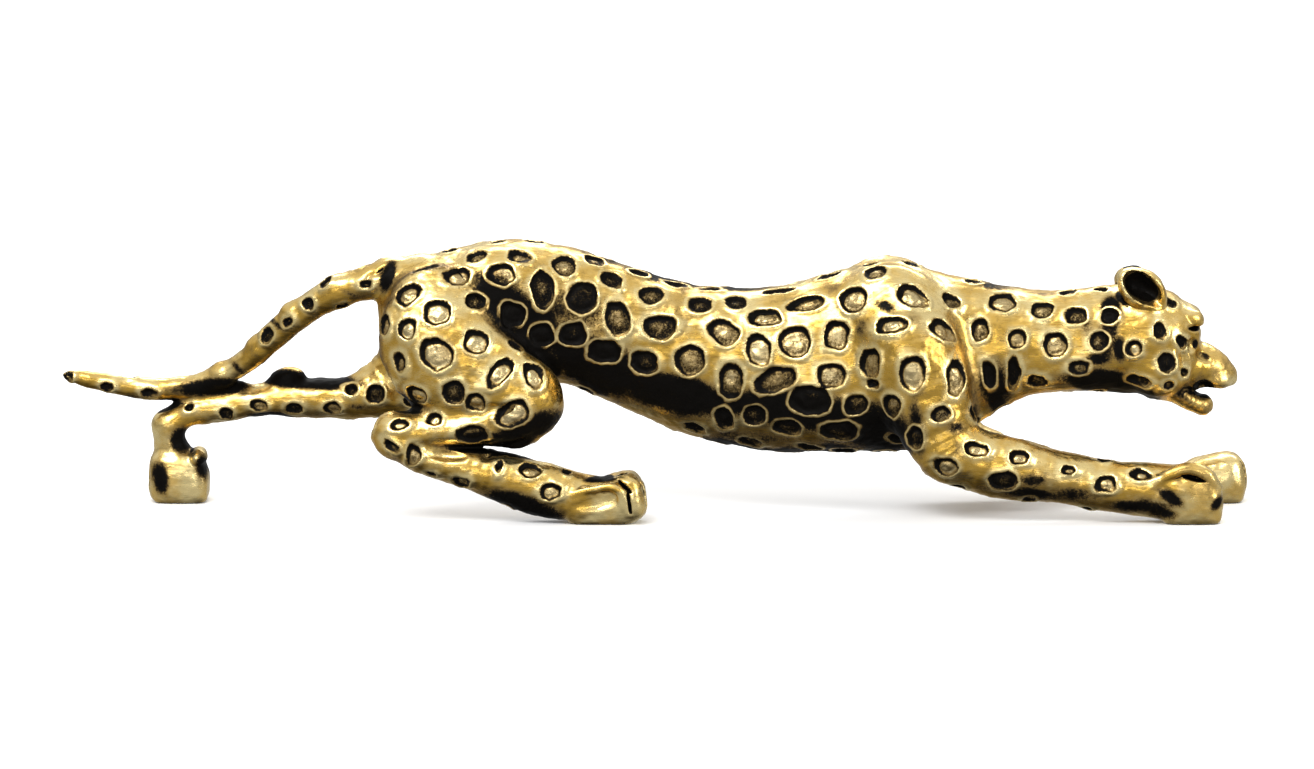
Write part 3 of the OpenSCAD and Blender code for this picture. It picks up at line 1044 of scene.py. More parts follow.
# Spots on the right side, marked on the middle plane: x, z, length, height, turn in degrees, patina left.
COAT: tuple[Row, ...] = (
    # Rump and thigh.
    (-41, 36.5, 4.4, 3.4, 42, 0.35), (-33, 39.5, 4.6, 2.9, 15, 0.1), (-25.5, 40, 4.5, 3.6, 0, 0.25),
    (-29.5, 43, 3.2, 2.4, 0, 0.6), (-22.5, 43, 3.6, 2.8, -10, 0.5), (-38.5, 41, 4.6, 2.2, 30, 0.4),
    (-18.5, 37.5, 3.8, 5.8, 0, 0.9), (-15, 41.5, 3.8, 3.6, 0, 0.6), (-10, 42.4, 3.4, 2.4, -12, 0.7),
    (-12, 36, 5, 4.8, 0, 0.95), (-7, 39, 3.5, 2.6, -12, 0.85), (-2.6, 40.2, 3, 1.8, -8, 0.6),
    (-0.5, 36.5, 4.5, 3, 5, 0.75), (-6, 32.5, 3.9, 5.8, 14, 0.75), (1, 31, 6, 3.6, 0, 0.8),
    (-36, 33.5, 4.5, 4.2, 0, 0.3), (-44.8, 31.4, 2.2, 3.2, 0, 0.3), (-41, 30.6, 2.7, 3.2, 0, 0.1),
    (-36.2, 26.4, 5.8, 4.6, -38, 0.15), (-29.5, 28.6, 4, 4.2, 0, 0.1), (-42.3, 25, 2.4, 3.4, 15, 0.4),
    (-25.8, 23.2, 5.8, 3.1, 48, 0.2), (-20, 22.8, 3, 4.5, 15, 0.2), (-23.2, 27.9, 2.6, 1.8, -40, 0.8),
    (-39.5, 19.5, 3.4, 3.1, -15, 0.3), (-33.4, 20, 3.6, 3.9, 0, 0.85), (-29.6, 18.2, 3.1, 2.8, 0, 0.2),
    (-23.6, 16.4, 5.2, 3.7, 24, 0.2), (-30.5, 12.8, 4.8, 2.7, 0, 0.7), (-29.7, 35.2, 3.2, 2.8, 0, 0.8),
    (-23.7, 33, 3.8, 4.2, 0, 1), (-18.8, 29.6, 3.8, 3.6, 0, 1), (-13.6, 29.8, 4.2, 3.6, 0, 1),
    (-8.2, 26.8, 5.2, 3.6, 0, 1), (-1.5, 25, 4.4, 3.6, 0, 0.95), (6, 25.4, 4.8, 4.6, 0, 0.6),
    # Shank and hind foot.
    (-42.5, 14.6, 3, 2, 0, 0.3), (-43.8, 10.8, 3, 1.8, -30, 0.6), (-40, 9.6, 2.2, 3.2, 0, 0.5),
    (-32, 4.8, 3, 2.4, 0, 0.4), (-37.2, 6.2, 2, 1.2, -20, 0.6), (-20.6, 6.9, 3.6, 2.4, 0, 0.1),
    (-17.3, 3.2, 3.6, 2.7, 0, 0.3), (-25.8, 7.5, 0.9, 1.8, 0, 1), (-36.6, 15.4, 2.6, 1.8, -20, 0.3),
    # Back, flank and shoulder.
    (7.6, 34.8, 3.9, 3, 0, 0.85), (13.6, 35.2, 3.6, 3, 0, 0.85), (18.5, 32.6, 5.2, 3, 0, 0.55),
    (25.2, 35, 5.5, 2.8, 4, 0.6), (3.5, 38.4, 3.8, 2, -5, 0.7), (9.4, 37.5, 3.5, 2, -3, 0.6),
    (20.3, 36.9, 5, 2, 3, 0.7), (29.4, 39.8, 4.2, 2.2, 14, 0.6), (11.6, 30.2, 5.2, 3.9, -35, 0.6),
    (17.3, 27.2, 3.9, 5.2, 15, 0.35), (23.5, 28.4, 4.9, 5, 0, 0.55), (12.8, 22.2, 3.8, 5.8, 0, 0.6),
    (20.3, 22, 6.8, 3.7, 22, 0.7), (29.4, 22.8, 4.6, 3.8, 0, 0.55), (30.5, 29.6, 3.9, 5, -12, 0.5),
    (33.2, 35.5, 4.3, 4.3, 0, 0.5), (37, 40.5, 3.7, 2.9, 15, 0.6), (43, 41.7, 3, 2.2, -15, 0.6),
    (43, 36.2, 4.9, 3.5, -35, 0.45), (49.5, 35.4, 3.6, 2.5, -25, 0.6), (39.3, 31.3, 5.2, 3.2, 0, 0.35),
    (48.2, 30.6, 5.2, 3.2, -12, 0.4), (35.9, 25, 3.7, 4.8, 0, 0.5), (42.8, 23.3, 4, 5.8, 0, 0.25),
    (50.4, 22.6, 3.6, 6, 0, 0.45), (33.6, 18, 3.6, 3.3, 0, 0.6), (39.6, 17.8, 3.2, 3.5, 0, 0.6),
    (47.6, 16.3, 2.7, 2, 0, 0.7), (36.5, 21.5, 2, 1.5, 0, 0.9), (16.8, 16.1, 3.6, 3.4, 0, 0.9),
    (22.3, 13.9, 4, 3, 0, 0.8), (31, 13.4, 5.9, 3.4, 0, 0.85), (26, 18.7, 6.2, 4.5, 0, 1),
    (11.6, 15.4, 3, 4, 0, 1), (6.9, 13.9, 3.7, 2, -15, 1), (16.1, 11.5, 3.8, 2.2, -8, 0.8),
    (26, 10.8, 3.8, 2, 0, 0.8), (43.5, 12.4, 2.6, 3.4, 0, 0.7), (48.3, 7.4, 3.9, 3, -15, 0.3),
    # Neck.
    (58.2, 35.2, 4.2, 3.6, 0, 0.4), (64.9, 34, 3.2, 3, 0, 0.6), (70.6, 33, 3.4, 2.6, 0, 0.7),
    (54.5, 30.6, 2.9, 3.3, 0, 0.6), (60.6, 29, 2.9, 3, 0, 0.4), (67, 28, 3.7, 4, 0, 0.5),
    (74.2, 28.6, 3.2, 2.9, 0, 0.7), (76, 32.8, 2.8, 2.4, 0, 0.9), (56, 23, 2.3, 4.5, 8, 0.95),
    (60.2, 23.3, 1.9, 4.8, 0, 0.95), (64.1, 21.9, 3.4, 2.6, 0, 0.7), (71, 24.1, 3.4, 2.3, 0, 0.6),
    (53.2, 16.6, 2.2, 2.6, 0, 0.9),
    # Front leg.
    (53.7, 10.4, 3.7, 2.6, -10, 0.3), (61, 9.2, 3.3, 2.5, -5, 0.3), (58, 5, 4.2, 3.2, 0, 0.95),
    (75.3, 4.6, 3.4, 2.5, 0, 0.4), (81.2, 6.1, 3.4, 2.2, 0, 0.2), (69, 6.8, 2.2, 1.5, 0, 0.5),
    # Head.
    (86.3, 35.2, 2, 1.9, 0, 0.8), (84.5, 30.3, 2, 3.1, 0, 0.9), (88.2, 28.6, 1.8, 2.4, 40, 1),
    (80.2, 27.5, 2.8, 2.4, 0, 0), (85.7, 25, 2.9, 3.1, 0, 1), (81, 21.9, 3.6, 2, -10, 0.8),
    (86, 21.2, 1.5, 1.5, 0, 0.6), (88.6, 23.4, 1.3, 1.2, 0, 0.7),
    # Tail and the stretched leg.
    (-58, 35, 2.2, 2, 0, 0.9), (-65, 29.8, 2.6, 1.8, 40, 0.8), (-61.4, 32, 2, 1.6, 30, 0.5),
    (-92.3, 20.7, 1.8, 1.3, 0, 0.9), (-85.2, 19.9, 2.4, 1.5, 0, 0.9), (-66.8, 17.8, 3, 2, 0, 0.5),
    (-60.6, 17.2, 3, 2.2, 0, 0.9), (-54.5, 17.2, 2.7, 2, 0, 0.5), (-51.2, 20.6, 2.5, 2, 0, 0.8),
    (-72.3, 16.2, 2.4, 1.9, 0, 0.8), (-47, 19.6, 3, 3, 0, 0.8),
)

# Patches where patina was left, some of them painted shade along the lower flank and the lower edges of the
# tail and the stretched leg, on the middle plane: x, z, half length, half height, turn, strength.
PATCHES: tuple[Row, ...] = (
    (-22, 33, 10, 4, -38, 1), (-11, 26.5, 11, 3.4, -18, 1), (4, 19.5, 13.5, 3.3, -12, 1),
    (-9.5, 23.2, 9, 2.8, -20, 1), (25, 16.8, 14, 3.4, -6, 1), (36.8, 13.6, 6.6, 4.4, -20, 1),
    (-13, 33, 9, 5.5, -20, 0.55), (-20.5, 14, 6.5, 2.2, 22, 1), (-21.5, 0.9, 7, 1.9, -18, 1),
    (-8.6, 5.3, 3, 0.5, 4, 0.9), (-28, 12.3, 6, 1, 0, 0.8), (75.8, 30, 1.9, 6, -8, 0.75),
    (72.4, 30.8, 1.3, 2.2, 0, 0.6), (77.6, 27.4, 1.3, 2.4, 10, 0.75), (74, 25.6, 2.6, 1.1, 0, 0.75),
    (-76.3, 7.4, 1.4, 2.6, 0, 0.9), (-50, 36.4, 3, 0.8, -20, 0.5), (-57, 33, 2.4, 0.7, -38, 0.5),
    (-63.4, 31.6, 2.8, 0.6, -42, 0.5), (-70, 24, 2.4, 0.7, -45, 0.6), (-88, 19.2, 3.6, 0.6, 3, 0.5),
    (-57, 16.2, 5.5, 0.6, 0, 0.5), (-50, 17.6, 2.6, 0.7, 0, 0.5), (74, 21.6, 7, 1.6, -6, 1),
    (81.5, 0.8, 6, 1.2, 0, 0.8), (57, 21.5, 3, 4.5, 10, 0.8), (-44.5, 39.6, 1.2, 3, -20, 0.9),
    (-59, 22, 10, 1.5, -4, 1), (-74, 20.9, 7, 1.5, 4, 1), (-65, 16, 5, 0.7, 0, 0.7),
    (-79.5, 11.7, 2.4, 2.2, -35, 1), (-83.4, 5.4, 1.5, 3, 8, 0.8), (62, 3, 8, 1.2, -6, 0.7),
    (63.6, 5.2, 3.2, 1.3, 0, 0.65), (70, 2.8, 7, 1.6, -8, 0.55), (46, 4.6, 2, 0.7, -20, 0.7),
    (3, 33, 9, 4, -8, 0.35), (43.8, 14, 1.4, 5, 8, 0.7), (16, 12.4, 8, 1.6, -5, 0.6),
    (30, 11, 8, 1.6, 0, 0.5), (-23.4, 11.6, 5.5, 1.7, 24, 1), (83.6, 0.4, 4, 1.4, -24, 0.8),
    (94, 1.6, 1, 1.4, -50, 0.6), (75, 21.8, 4.6, 2.2, -8, 1), (80.5, 20.2, 4.5, 1.1, -12, 1),
    (46.5, 29, 3, 7, 12, 0.3), (34.6, 30.9, 1.3, 2.4, 0, 0.5), (43.3, 32.3, 1.4, 2, 20, 0.5),
    (38.6, 34.5, 2.4, 1.2, -20, 0.6), (50.2, 14.1, 2, 1.3, 0, 0.6), (57.4, 18.4, 1.6, 3, 20, 0.9),
    (2.5, 39.6, 8, 1.3, -10, 0.8), (15, 37.8, 6, 0.9, 0, 0.7), (76.4, 34, 1.8, 2.4, 0, 1),
    (57.5, 37.8, 4, 1, -8, 0.6), (-8, 42.6, 5, 0.8, -18, 0.6), (86, 2.2, 2.6, 1.1, -32, 0.9),
    (94, 1.4, 0.9, 1.6, -40, 0.8),
)

# Hollows that are black inside, in space: x, y (both sides), z, three half sizes, tip.
HOLLOWS: tuple[Row, ...] = (
    (81.5, 6, 38.6, 3.3, 3.2, 2.1, -34), (92, 3.6, 21, 1.8, 2.6, 1.7, 0),
    (94.4, 2.6, 20.6, 2.4, 1.4, 0.5, 0), (90.7, 5.2, 28.9, 1, 1.4, 1.1, -40),
    (92.3, 4, 26.8, 1.3, 1, 0.7, -32), (91.6, 3.8, 31.3, 1.6, 2, 0.4, -6),
    (89.9, 14.4, 7.8, 2, 0.9, 0.28, -16), (-34.2, 14.4, 12, 3, 1.4, 0.9, -4),
)


@dataclass
class Spot:
    """A pressed spot on the skin, in millimetres."""

    centre: Array
    out: Array
    along: Array
    half: tuple[float, float]
    dark: float


@dataclass
class Coat:
    """Where the spots and the patina patches are."""

    figure: Figure
    seed: int = 7
    jitter: float = 0.7  # How far the left side's spots stray from the right side's.
    swell: float = 1.07  # Spots are marked a little larger than their floors.
    stand_off: float = 30.0  # How far off the middle plane a mark starts.
    strides: int = 70  # Steps that it may take to the skin.
    spots: list[Spot] = field(default_factory=list)

    def look(self, side: Side) -> Array:
        """Gives the direction in which the spots are marked on a side."""
        return np.array([0.0, -side.value * math.cos(GLANCE), -math.sin(GLANCE)])

    def outward(self, points: Array, step: float = 0.25) -> Array:
        """Gives the outward direction of the skin, smoothed a little."""
        slope = sum(self.figure.skin(points + step * d)[:, None] * d for d in TETRAHEDRON)
        return slope / np.maximum(np.linalg.norm(slope, axis=1, keepdims=True), 1e-6)

    def strike(self, starts: Array, way: Array) -> tuple[Array, Array]:
        """Moves from the starts along a direction until the skin is met.

        Args:
            starts: Points outside the cat.
            way: The direction.

        Returns:
            The points where each stopped, and whether it met the skin.
        """
        travel = np.zeros(len(starts))
        for _ in range(self.strides):
            d = self.figure.skin(starts + travel[:, None] * way)
            travel += np.clip(d * 0.9, -1, 4)
        ends = starts + travel[:, None] * way
        return ends, (np.abs(self.figure.skin(ends)) < 0.05) & (travel < 2 * self.stand_off)

    def mark(self, side: Side, rows: Array) -> None:
        """Marks spots on one side.

        Args:
            side: Side of the cat.
            rows: The coat's table.
        """
        way = self.look(side)
        on_plane = np.stack([rows[:, 0], np.zeros(len(rows)), rows[:, 1]], 1)
        ends, met = self.strike(on_plane - way * self.stand_off, way)
        outs = self.outward(ends)
        for row, end, out, ok in zip(rows, ends, outs, met):
            if not ok:
                continue
            turn = math.radians(row[4])
            level = np.array([math.cos(turn), 0.0, math.sin(turn)])
            along = level - out * (level @ out)
            half = (row[2] / 2 * self.swell, row[3] / 2 * self.swell)
            self.spots.append(Spot(end, out, along / np.linalg.norm(along), half, row[5]))

    @staticmethod
    def plain_at(p: Array, out: Array) -> bool:
        """Tells whether a place has no scattered spots.

        Args:
            p: The place.
            out: Outward direction there.

        Returns:
            True on the soles, the face, the paws, the web at the tail, and the sides whose spots are listed.
        """
        x, y, z = p
        sole_or_face = z < 2.0 or x > 76
        paw = (abs(x + 9) < 8 and z < 8) or (x < -74 and z < 16)
        marked = x > -47 and out[1] * y > 0 and abs(out[1]) > 0.55
        web = abs(x + 69) < 17 and abs(z - 22) < 3.5
        return sole_or_face or paw or marked or web

    def fill(self, points: Array, outs: Array, apart: float = 5.6, tries: int = 6000) -> None:
        """Scatters more spots where none are marked, such as along the spine, the belly and inside the legs.

        Args:
            points: Points on the skin to choose from.
            outs: Outward directions there.
            apart: Least distance from any other spot.
            tries: How many points are tried.
        """
        rng = np.random.default_rng(self.seed)
        taken = np.array([s.centre for s in self.spots])
        for i in rng.permutation(len(points))[:tries]:
            p, out = points[i], outs[i]
            size = rng.uniform(0.72, 1.0)
            turn = rng.uniform(-0.9, 0.9)
            slim = p[0] > 74 or p[0] < -48 or p[2] < 9
            nearest = np.linalg.norm(taken - p, axis=1).min()
            if nearest < apart * (0.8 if slim else 1.0) or self.plain_at(p, out):
                continue
            level = np.array([math.cos(turn), 0.4 * math.sin(turn), math.sin(turn)])
            along = level - out * (level @ out)
            if np.linalg.norm(along) < 0.2:
                continue
            half = (1.35 * size, 1.0 * size) if slim else (1.9 * size, 1.55 * size)
            self.spots.append(Spot(p, out, along / np.linalg.norm(along), half, float(rng.uniform(0.3, 1.0))))
            taken = np.vstack([taken, p])

    def lay_out(self) -> None:
        """Marks both sides, the left with small differences."""
        rows = np.array(COAT)
        self.mark(Side.RIGHT, rows)
        rng = np.random.default_rng(self.seed)
        other = rows[(rows[:, 0] > -47)].copy()
        other[:, :2] += rng.uniform(-self.jitter, self.jitter, (len(other), 2))
        other[:, 2:4] *= rng.uniform(0.9, 1.08, (len(other), 2))
        other[:, 4] += rng.uniform(-14, 14, len(other))
        self.mark(Side.LEFT, other)

    def patina(self, points: Array, outs: Array) -> Array:
        """Gives how much patina was left on purpose at points, with painted shade on down-facing skin and in
        some patches, from 0 to 1.

        Args:
            points: Points on the skin.
            outs: Outward directions there.

        Returns:
            One value for each point.
        """
        total = np.zeros(len(points))
        drop = np.where(points[:, 0] < -47.5, -points[:, 1], np.abs(points[:, 1])) * math.tan(GLANCE)
        lift = points[:, 2] - drop
        for x, z, a, b, turn, strength in PATCHES:
            t = math.radians(turn)
            u = (points[:, 0] - x) * math.cos(t) + (lift - z) * math.sin(t)
            v = -(points[:, 0] - x) * math.sin(t) + (lift - z) * math.cos(t)
            r = np.sqrt((u / a) ** 2 + (v / b) ** 2)
            total = np.maximum(total, strength * np.clip(1.35 - r, 0, 1) ** 0.7)
        for x, y, z, a, b, c, tip in HOLLOWS:
            place = np.stack([points[:, 0], np.abs(points[:, 1]), points[:, 2]], 1)
            near = Lump((x, y, z), (a, b, c), tip).measure(place)
            total = np.maximum(total, np.clip(0.5 - near / 0.7, 0, 1))
        # Painted shade: down-facing skin is blackened, most strongly between x 8 and 42 under the belly and
        # chest.
        deep = np.where((points[:, 0] > 8) & (points[:, 0] < 42), 0.75, 0.1)
        under = np.clip((-outs[:, 2] - 0.55) / 0.4, 0, 1) * deep
        return np.clip(np.maximum(total, under), 0, 1)


# --------------------------------------------------------------------------------------------------
# Node trees
# --------------------------------------------------------------------------------------------------


@dataclass
class Wiring:
    """Adds nodes to a tree and links them, so that a tree reads from its inputs to its output."""

    tree: bpy.types.NodeTree

    def node(self, kind: str, inputs: dict[int | str, object] | None = None,
             **settings: object) -> bpy.types.Node:
        """Adds a node.

        Args:
            kind: Its type.
            inputs: Values or output sockets for its inputs, by name or number.
            settings: Properties to set on it.

        Returns:
            The node.
        """
        made = self.tree.nodes.new(kind)
        for name, value in settings.items():
            setattr(made, name, value)
        for key, value in (inputs or {}).items():
            if isinstance(value, bpy.types.NodeSocket):
                self.tree.links.new(value, made.inputs[key])
            else:
                made.inputs[key].default_value = value
        return made

    def maths(self, operation: str, *values: object) -> bpy.types.NodeSocket:
        """Adds a Math node and gives its output."""
        return self.node("ShaderNodeMath", dict(enumerate(values)), operation=operation).outputs[0]

    def plus(self, a: object, b: object) -> bpy.types.NodeSocket:
        """Gives a + b."""
        return self.maths("ADD", a, b)

    def minus(self, a: object, b: object) -> bpy.types.NodeSocket:
        """Gives a - b."""
        return self.maths("SUBTRACT", a, b)

    def times(self, a: object, b: object) -> bpy.types.NodeSocket:
        """Gives a times b."""
        return self.maths("MULTIPLY", a, b)

    def most(self, *values: object) -> bpy.types.NodeSocket:
        """Gives the largest of several values.

        Args:
            values: Numbers or output sockets.

        Returns:
            The output.
        """
        largest, *rest = values
        for value in rest:
            largest = self.maths("MAXIMUM", largest, value)
        return largest

    def store(self, geometry: object, name: str, value: object) -> bpy.types.NodeSocket:
        """Stores a value on the points of a geometry, and gives the geometry."""
        inputs = {"Geometry": geometry, "Name": name, "Value": value}
        return self.node("GeometryNodeStoreNamedAttribute", inputs).outputs[0]

    def read(self, name: str, kind: str = "FLOAT") -> bpy.types.NodeSocket:
        """Reads a value stored on the points."""
        return self.node("GeometryNodeInputNamedAttribute", {"Name": name}, data_type=kind).outputs[0]

    def vector(self, operation: str, *values: object) -> bpy.types.Node:
        """Adds a Vector Math node."""
        return self.node("ShaderNodeVectorMath", dict(enumerate(values)), operation=operation)

    def ramp(self, value: object, low: float, high: float, to_low: float = 0.0, to_high: float = 1.0,
             smooth: bool = True) -> bpy.types.NodeSocket:
        """Adds a Map Range node and gives its output.

        Args:
            value: What is mapped.
            low: Where the result starts to change.
            high: Where it stops.
            to_low: The result at low.
            to_high: The result at high.
            smooth: Whether it eases in and out.

        Returns:
            The output.
        """
        inputs = {"Value": value, "From Min": low, "From Max": high, "To Min": to_low, "To Max": to_high}
        kind = "SMOOTHSTEP" if smooth else "LINEAR"
        return self.node("ShaderNodeMapRange", inputs, interpolation_type=kind).outputs["Result"]

    def mix(self, factor: object, a: object, b: object) -> bpy.types.NodeSocket:
        """Adds a colour Mix node and gives its output."""
        return self.node("ShaderNodeMix", {0: factor, 6: a, 7: b}, data_type="RGBA").outputs[2]

    def choose(self, factor: object, a: object, b: object) -> bpy.types.NodeSocket:
        """Adds a Mix node for plain values and gives its output."""
        return self.node("ShaderNodeMix", {0: factor, 2: a, 3: b}, data_type="FLOAT").outputs[0]

    def noise(self, scale: float, detail: float = 3.0, rough: float = 0.55,
              where: object = None) -> bpy.types.NodeSocket:
        """Adds a Noise Texture node and gives its value.

        Args:
            scale: Its scale.
            detail: Layers of finer noise.
            rough: Strength of the finer layers.
            where: Coordinates, or None for those of the piece's own box.

        Returns:
            The output.
        """
        inputs: dict[int | str, object] = {"Scale": scale, "Detail": detail, "Roughness": rough}
        if where is not None:
            inputs["Vector"] = where
        return self.node("ShaderNodeTexNoise", inputs).outputs["Fac"]

    def socket(self, name: str, direction: str, kind: str, default: object = None) -> None:
        """Adds a socket to the tree's interface.

        Args:
            name: Its name.
            direction: INPUT or OUTPUT.
            kind: Its type.
            default: Its value, where it has one.
        """
        made = self.tree.interface.new_socket(name, in_out=direction, socket_type=kind)
        if default is not None:
            made.default_value = default


@dataclass
class SpotPress:
    """Geometry Nodes that press each spot into a casting: a raised lip, a steep wall and a domed floor."""

    depth: float = 0.5 * MM
    lip: float = 0.15 * MM
    dome: float = 0.16 * MM
    wobble: float = 1.5 * MM  # How uneven a spot's outline is.
    cast_skin: float = 0.8 * MM  # How uneven the skin is all over.
    squareness: float = 2.3  # 2 makes an oval.
    punch_way: Row = (-0.5, 0.0, 0.86)  # Across a spot, towards the side where it is deepest.
    slant_most: float = 1.2  # Half sizes of a spot from its middle, past which depth stays the same.
    outline_scale: float = 360.0
    grit_scale: float = 950.0
    cast_scale: float = 190.0
    tree: bpy.types.NodeTree | None = None

    def build(self) -> bpy.types.NodeTree:
        """Builds the tree once.

        Returns:
            The tree.
        """
        if self.tree is not None:
            return self.tree
        tree = bpy.data.node_groups.new("press_spots", "GeometryNodeTree")
        w = Wiring(tree)
        w.socket("Geometry", "INPUT", "NodeSocketGeometry")
        w.socket("Spots", "INPUT", "NodeSocketObject")
        sizes = {"Depth": self.depth, "Lip": self.lip, "Dome": self.dome, "Wobble": self.wobble,
                 "Cast Skin": self.cast_skin}
        for name, value in sizes.items():
            w.socket(name, "INPUT", "NodeSocketFloat", value)
        w.socket("Metal", "INPUT", "NodeSocketMaterial")
        w.socket("Geometry", "OUTPUT", "NodeSocketGeometry")
        given = w.node("NodeGroupInput").outputs
        cloud = w.node("GeometryNodeObjectInfo", {"Object": given["Spots"]}).outputs["Geometry"]
        count = w.node("GeometryNodeAttributeDomainSize", {"Geometry": cloud}).outputs["Point Count"]
        position = w.node("GeometryNodeInputPosition").outputs[0]

        blank = w.store(given["Geometry"], "edge", FAR_AWAY)
        blank = w.store(w.store(blank, "fill", 0.0), "slant", 0.0)
        start = w.node("GeometryNodeRepeatInput")
        end = w.node("GeometryNodeRepeatOutput")
        start.pair_with_output(end)
        tree.links.new(count, start.inputs["Iterations"])
        tree.links.new(blank, start.inputs["Geometry"])
        spot = {"position": position}
        for name in ("position", "out", "along", "size"):
            value = spot[name] if name in spot else w.read(name, "FLOAT_VECTOR")
            inputs = {"Geometry": cloud, "Value": value, "Index": start.outputs["Iteration"]}
            spot[name] = w.node("GeometryNodeSampleIndex", inputs, data_type="FLOAT_VECTOR").outputs[0]
        tree.links.new(self.nearest(w, start.outputs["Geometry"], position, spot, given["Wobble"]),
                       end.inputs["Geometry"])

        height = w.times(self.height(w, given), w.read("skin"))
        push = {0: w.read("out", "FLOAT_VECTOR"), "Scale": height}
        push = w.node("ShaderNodeVectorMath", push, operation="SCALE").outputs[0]
        moved = w.node("GeometryNodeSetPosition", {"Geometry": end.outputs["Geometry"], "Offset": push})
        real = w.node("GeometryNodeRealizeInstances", {"Geometry": moved.outputs[0]}).outputs[0]
        metal = w.node("GeometryNodeSetMaterial", {"Geometry": real, "Material": given["Metal"]}).outputs[0]
        w.node("NodeGroupOutput", {"Geometry": metal})
        self.tree = tree
        return tree

    def nearest(self, w: Wiring, body: bpy.types.NodeSocket, position: bpy.types.NodeSocket,
                spot: dict[str, bpy.types.NodeSocket], wobble: bpy.types.NodeSocket) -> bpy.types.NodeSocket:
        """Keeps, at each point of the casting, the values of the spot whose edge is nearest.

        Args:
            w: Wiring of the tree.
            body: The casting, with what the rounds before this one stored.
            position: Position of the point.
            spot: Place, directions and half sizes of this round's spot.
            wobble: How uneven the outline is.

        Returns:
            The casting, with this spot taken in.
        """
        shake = w.node("ShaderNodeTexNoise", {"Vector": position, "Scale": self.outline_scale, "Detail": 2.0})
        shake = w.times(w.minus(shake.outputs["Fac"], 0.5), wobble)
        offset = w.vector("SUBTRACT", position, spot["position"]).outputs[0]
        across = w.vector("CROSS_PRODUCT", spot["out"], spot["along"]).outputs[0]
        half_length, half_height, dark = w.node("ShaderNodeSeparateXYZ", {0: spot["size"]}).outputs
        u = w.maths("DIVIDE", w.vector("DOT_PRODUCT", offset, spot["along"]).outputs["Value"], half_length)
        v = w.maths("DIVIDE", w.vector("DOT_PRODUCT", offset, across).outputs["Value"], half_height)
        deep = w.maths("ABSOLUTE", w.vector("DOT_PRODUCT", offset, spot["out"]).outputs["Value"])
        n = self.squareness
        u, v = (w.maths("POWER", w.maths("ABSOLUTE", value), n) for value in (u, v))
        radius = w.maths("POWER", w.plus(u, v), 1 / n)
        small = w.maths("MINIMUM", half_length, half_height)
        flat = w.times(w.minus(radius, 1.0), small)
        behind = w.ramp(deep, 1.6 * MM, 3.0 * MM, 0.0, 6 * MM, smooth=False)  # Keeps it off the far side.
        distance = w.times(w.plus(w.plus(flat, shake), behind), 1 / MM)
        closer = w.maths("LESS_THAN", distance, w.read("edge"))
        fill = w.choose(closer, w.read("fill"), dark)
        slant = w.maths("DIVIDE", w.vector("DOT_PRODUCT", offset, self.punch_way).outputs["Value"], small)
        slant = w.maths("MAXIMUM", w.maths("MINIMUM", slant, self.slant_most), -self.slant_most)
        slant = w.choose(closer, w.read("slant"), slant)
        edge = w.maths("MINIMUM", distance, w.read("edge"))
        return w.store(w.store(w.store(body, "slant", slant), "fill", fill), "edge", edge)

    def height(self, w: Wiring, given: bpy.types.NodeOutputs) -> bpy.types.NodeSocket:
        """Gives how far each point is pushed out, from its distance to the nearest spot's edge.

        Args:
            w: Wiring of the tree.
            given: The tree's inputs.

        Returns:
            The height.
        """
        most = self.slant_most
        edge = w.read("edge")
        high = w.ramp(w.read("slant"), -most, most, 1.7, 0.3, False)
        lip = w.times(w.times(w.ramp(edge, 0.85, 0.15), w.ramp(edge, -0.2, 0.15)), given["Lip"])
        lip = w.times(lip, high)
        wall = w.times(w.ramp(edge, 0.05, -0.5), given["Depth"])
        wall = w.times(wall, w.ramp(w.read("slant"), -most, most, 0.6, 1.4, False))
        rough = w.node("ShaderNodeTexNoise", {"Scale": self.grit_scale, "Detail": 2.0}).outputs["Fac"]
        dome = w.times(w.ramp(edge, -0.45, -1.3), w.ramp(rough, 0.2, 0.8, 0, 2.4, False))
        dome = w.times(dome, given["Dome"])
        coarse = w.node("ShaderNodeTexNoise", {"Scale": self.cast_scale, "Detail": 1.0}).outputs["Fac"]
        cast = w.plus(w.minus(coarse, 0.5), w.times(w.minus(rough, 0.5), 0.3))
        return w.plus(w.minus(lip, wall), w.plus(dome, w.times(cast, given["Cast Skin"])))

    def press(self, piece: bpy.types.Object, spots: Sequence[Spot], scale: Array,
              metal: bpy.types.Material) -> None:
        """Presses spots into a casting, and makes the result a plain mesh.

        Args:
            piece: The casting.
            spots: The spots that may reach it.
            scale: Metres to a drawn millimetre along each axis.
            metal: Its material.
        """
        cloud = bpy.data.meshes.new("spot_cloud")
        cloud.from_pydata([tuple(s.centre * scale) for s in spots], [], [])
        columns = {
            "out": [s.out for s in spots],
            "along": [s.along for s in spots],
            "size": [(s.half[0] * MM, s.half[1] * MM, s.dark) for s in spots],
        }
        for name, values in columns.items():
            made = cloud.attributes.new(name, "FLOAT_VECTOR", "POINT")
            made.data.foreach_set("vector", np.array(values, float).ravel())
        holder = bpy.data.objects.new("spot_cloud", cloud)
        bpy.context.scene.collection.objects.link(holder)
        modifier = piece.modifiers.new("press_spots", "NODES")
        modifier.node_group = self.build()
        ids = {s.name: s.identifier for s in modifier.node_group.interface.items_tree if s.in_out == "INPUT"}
        modifier[ids["Spots"]] = holder
        modifier[ids["Metal"]] = metal
        bpy.context.view_layer.update()
        graph = bpy.context.evaluated_depsgraph_get()
        done = bpy.data.meshes.new_from_object(
            piece.evaluated_get(graph), preserve_all_data_layers=True, depsgraph=graph)
        piece.modifiers.clear()
        old, name = piece.data, piece.data.name
        piece.data = done
        bpy.data.meshes.remove(old)
        done.name = name
        bpy.data.objects.remove(holder)
        bpy.data.meshes.remove(cloud)


# --------------------------------------------------------------------------------------------------
# Finishes
# --------------------------------------------------------------------------------------------------


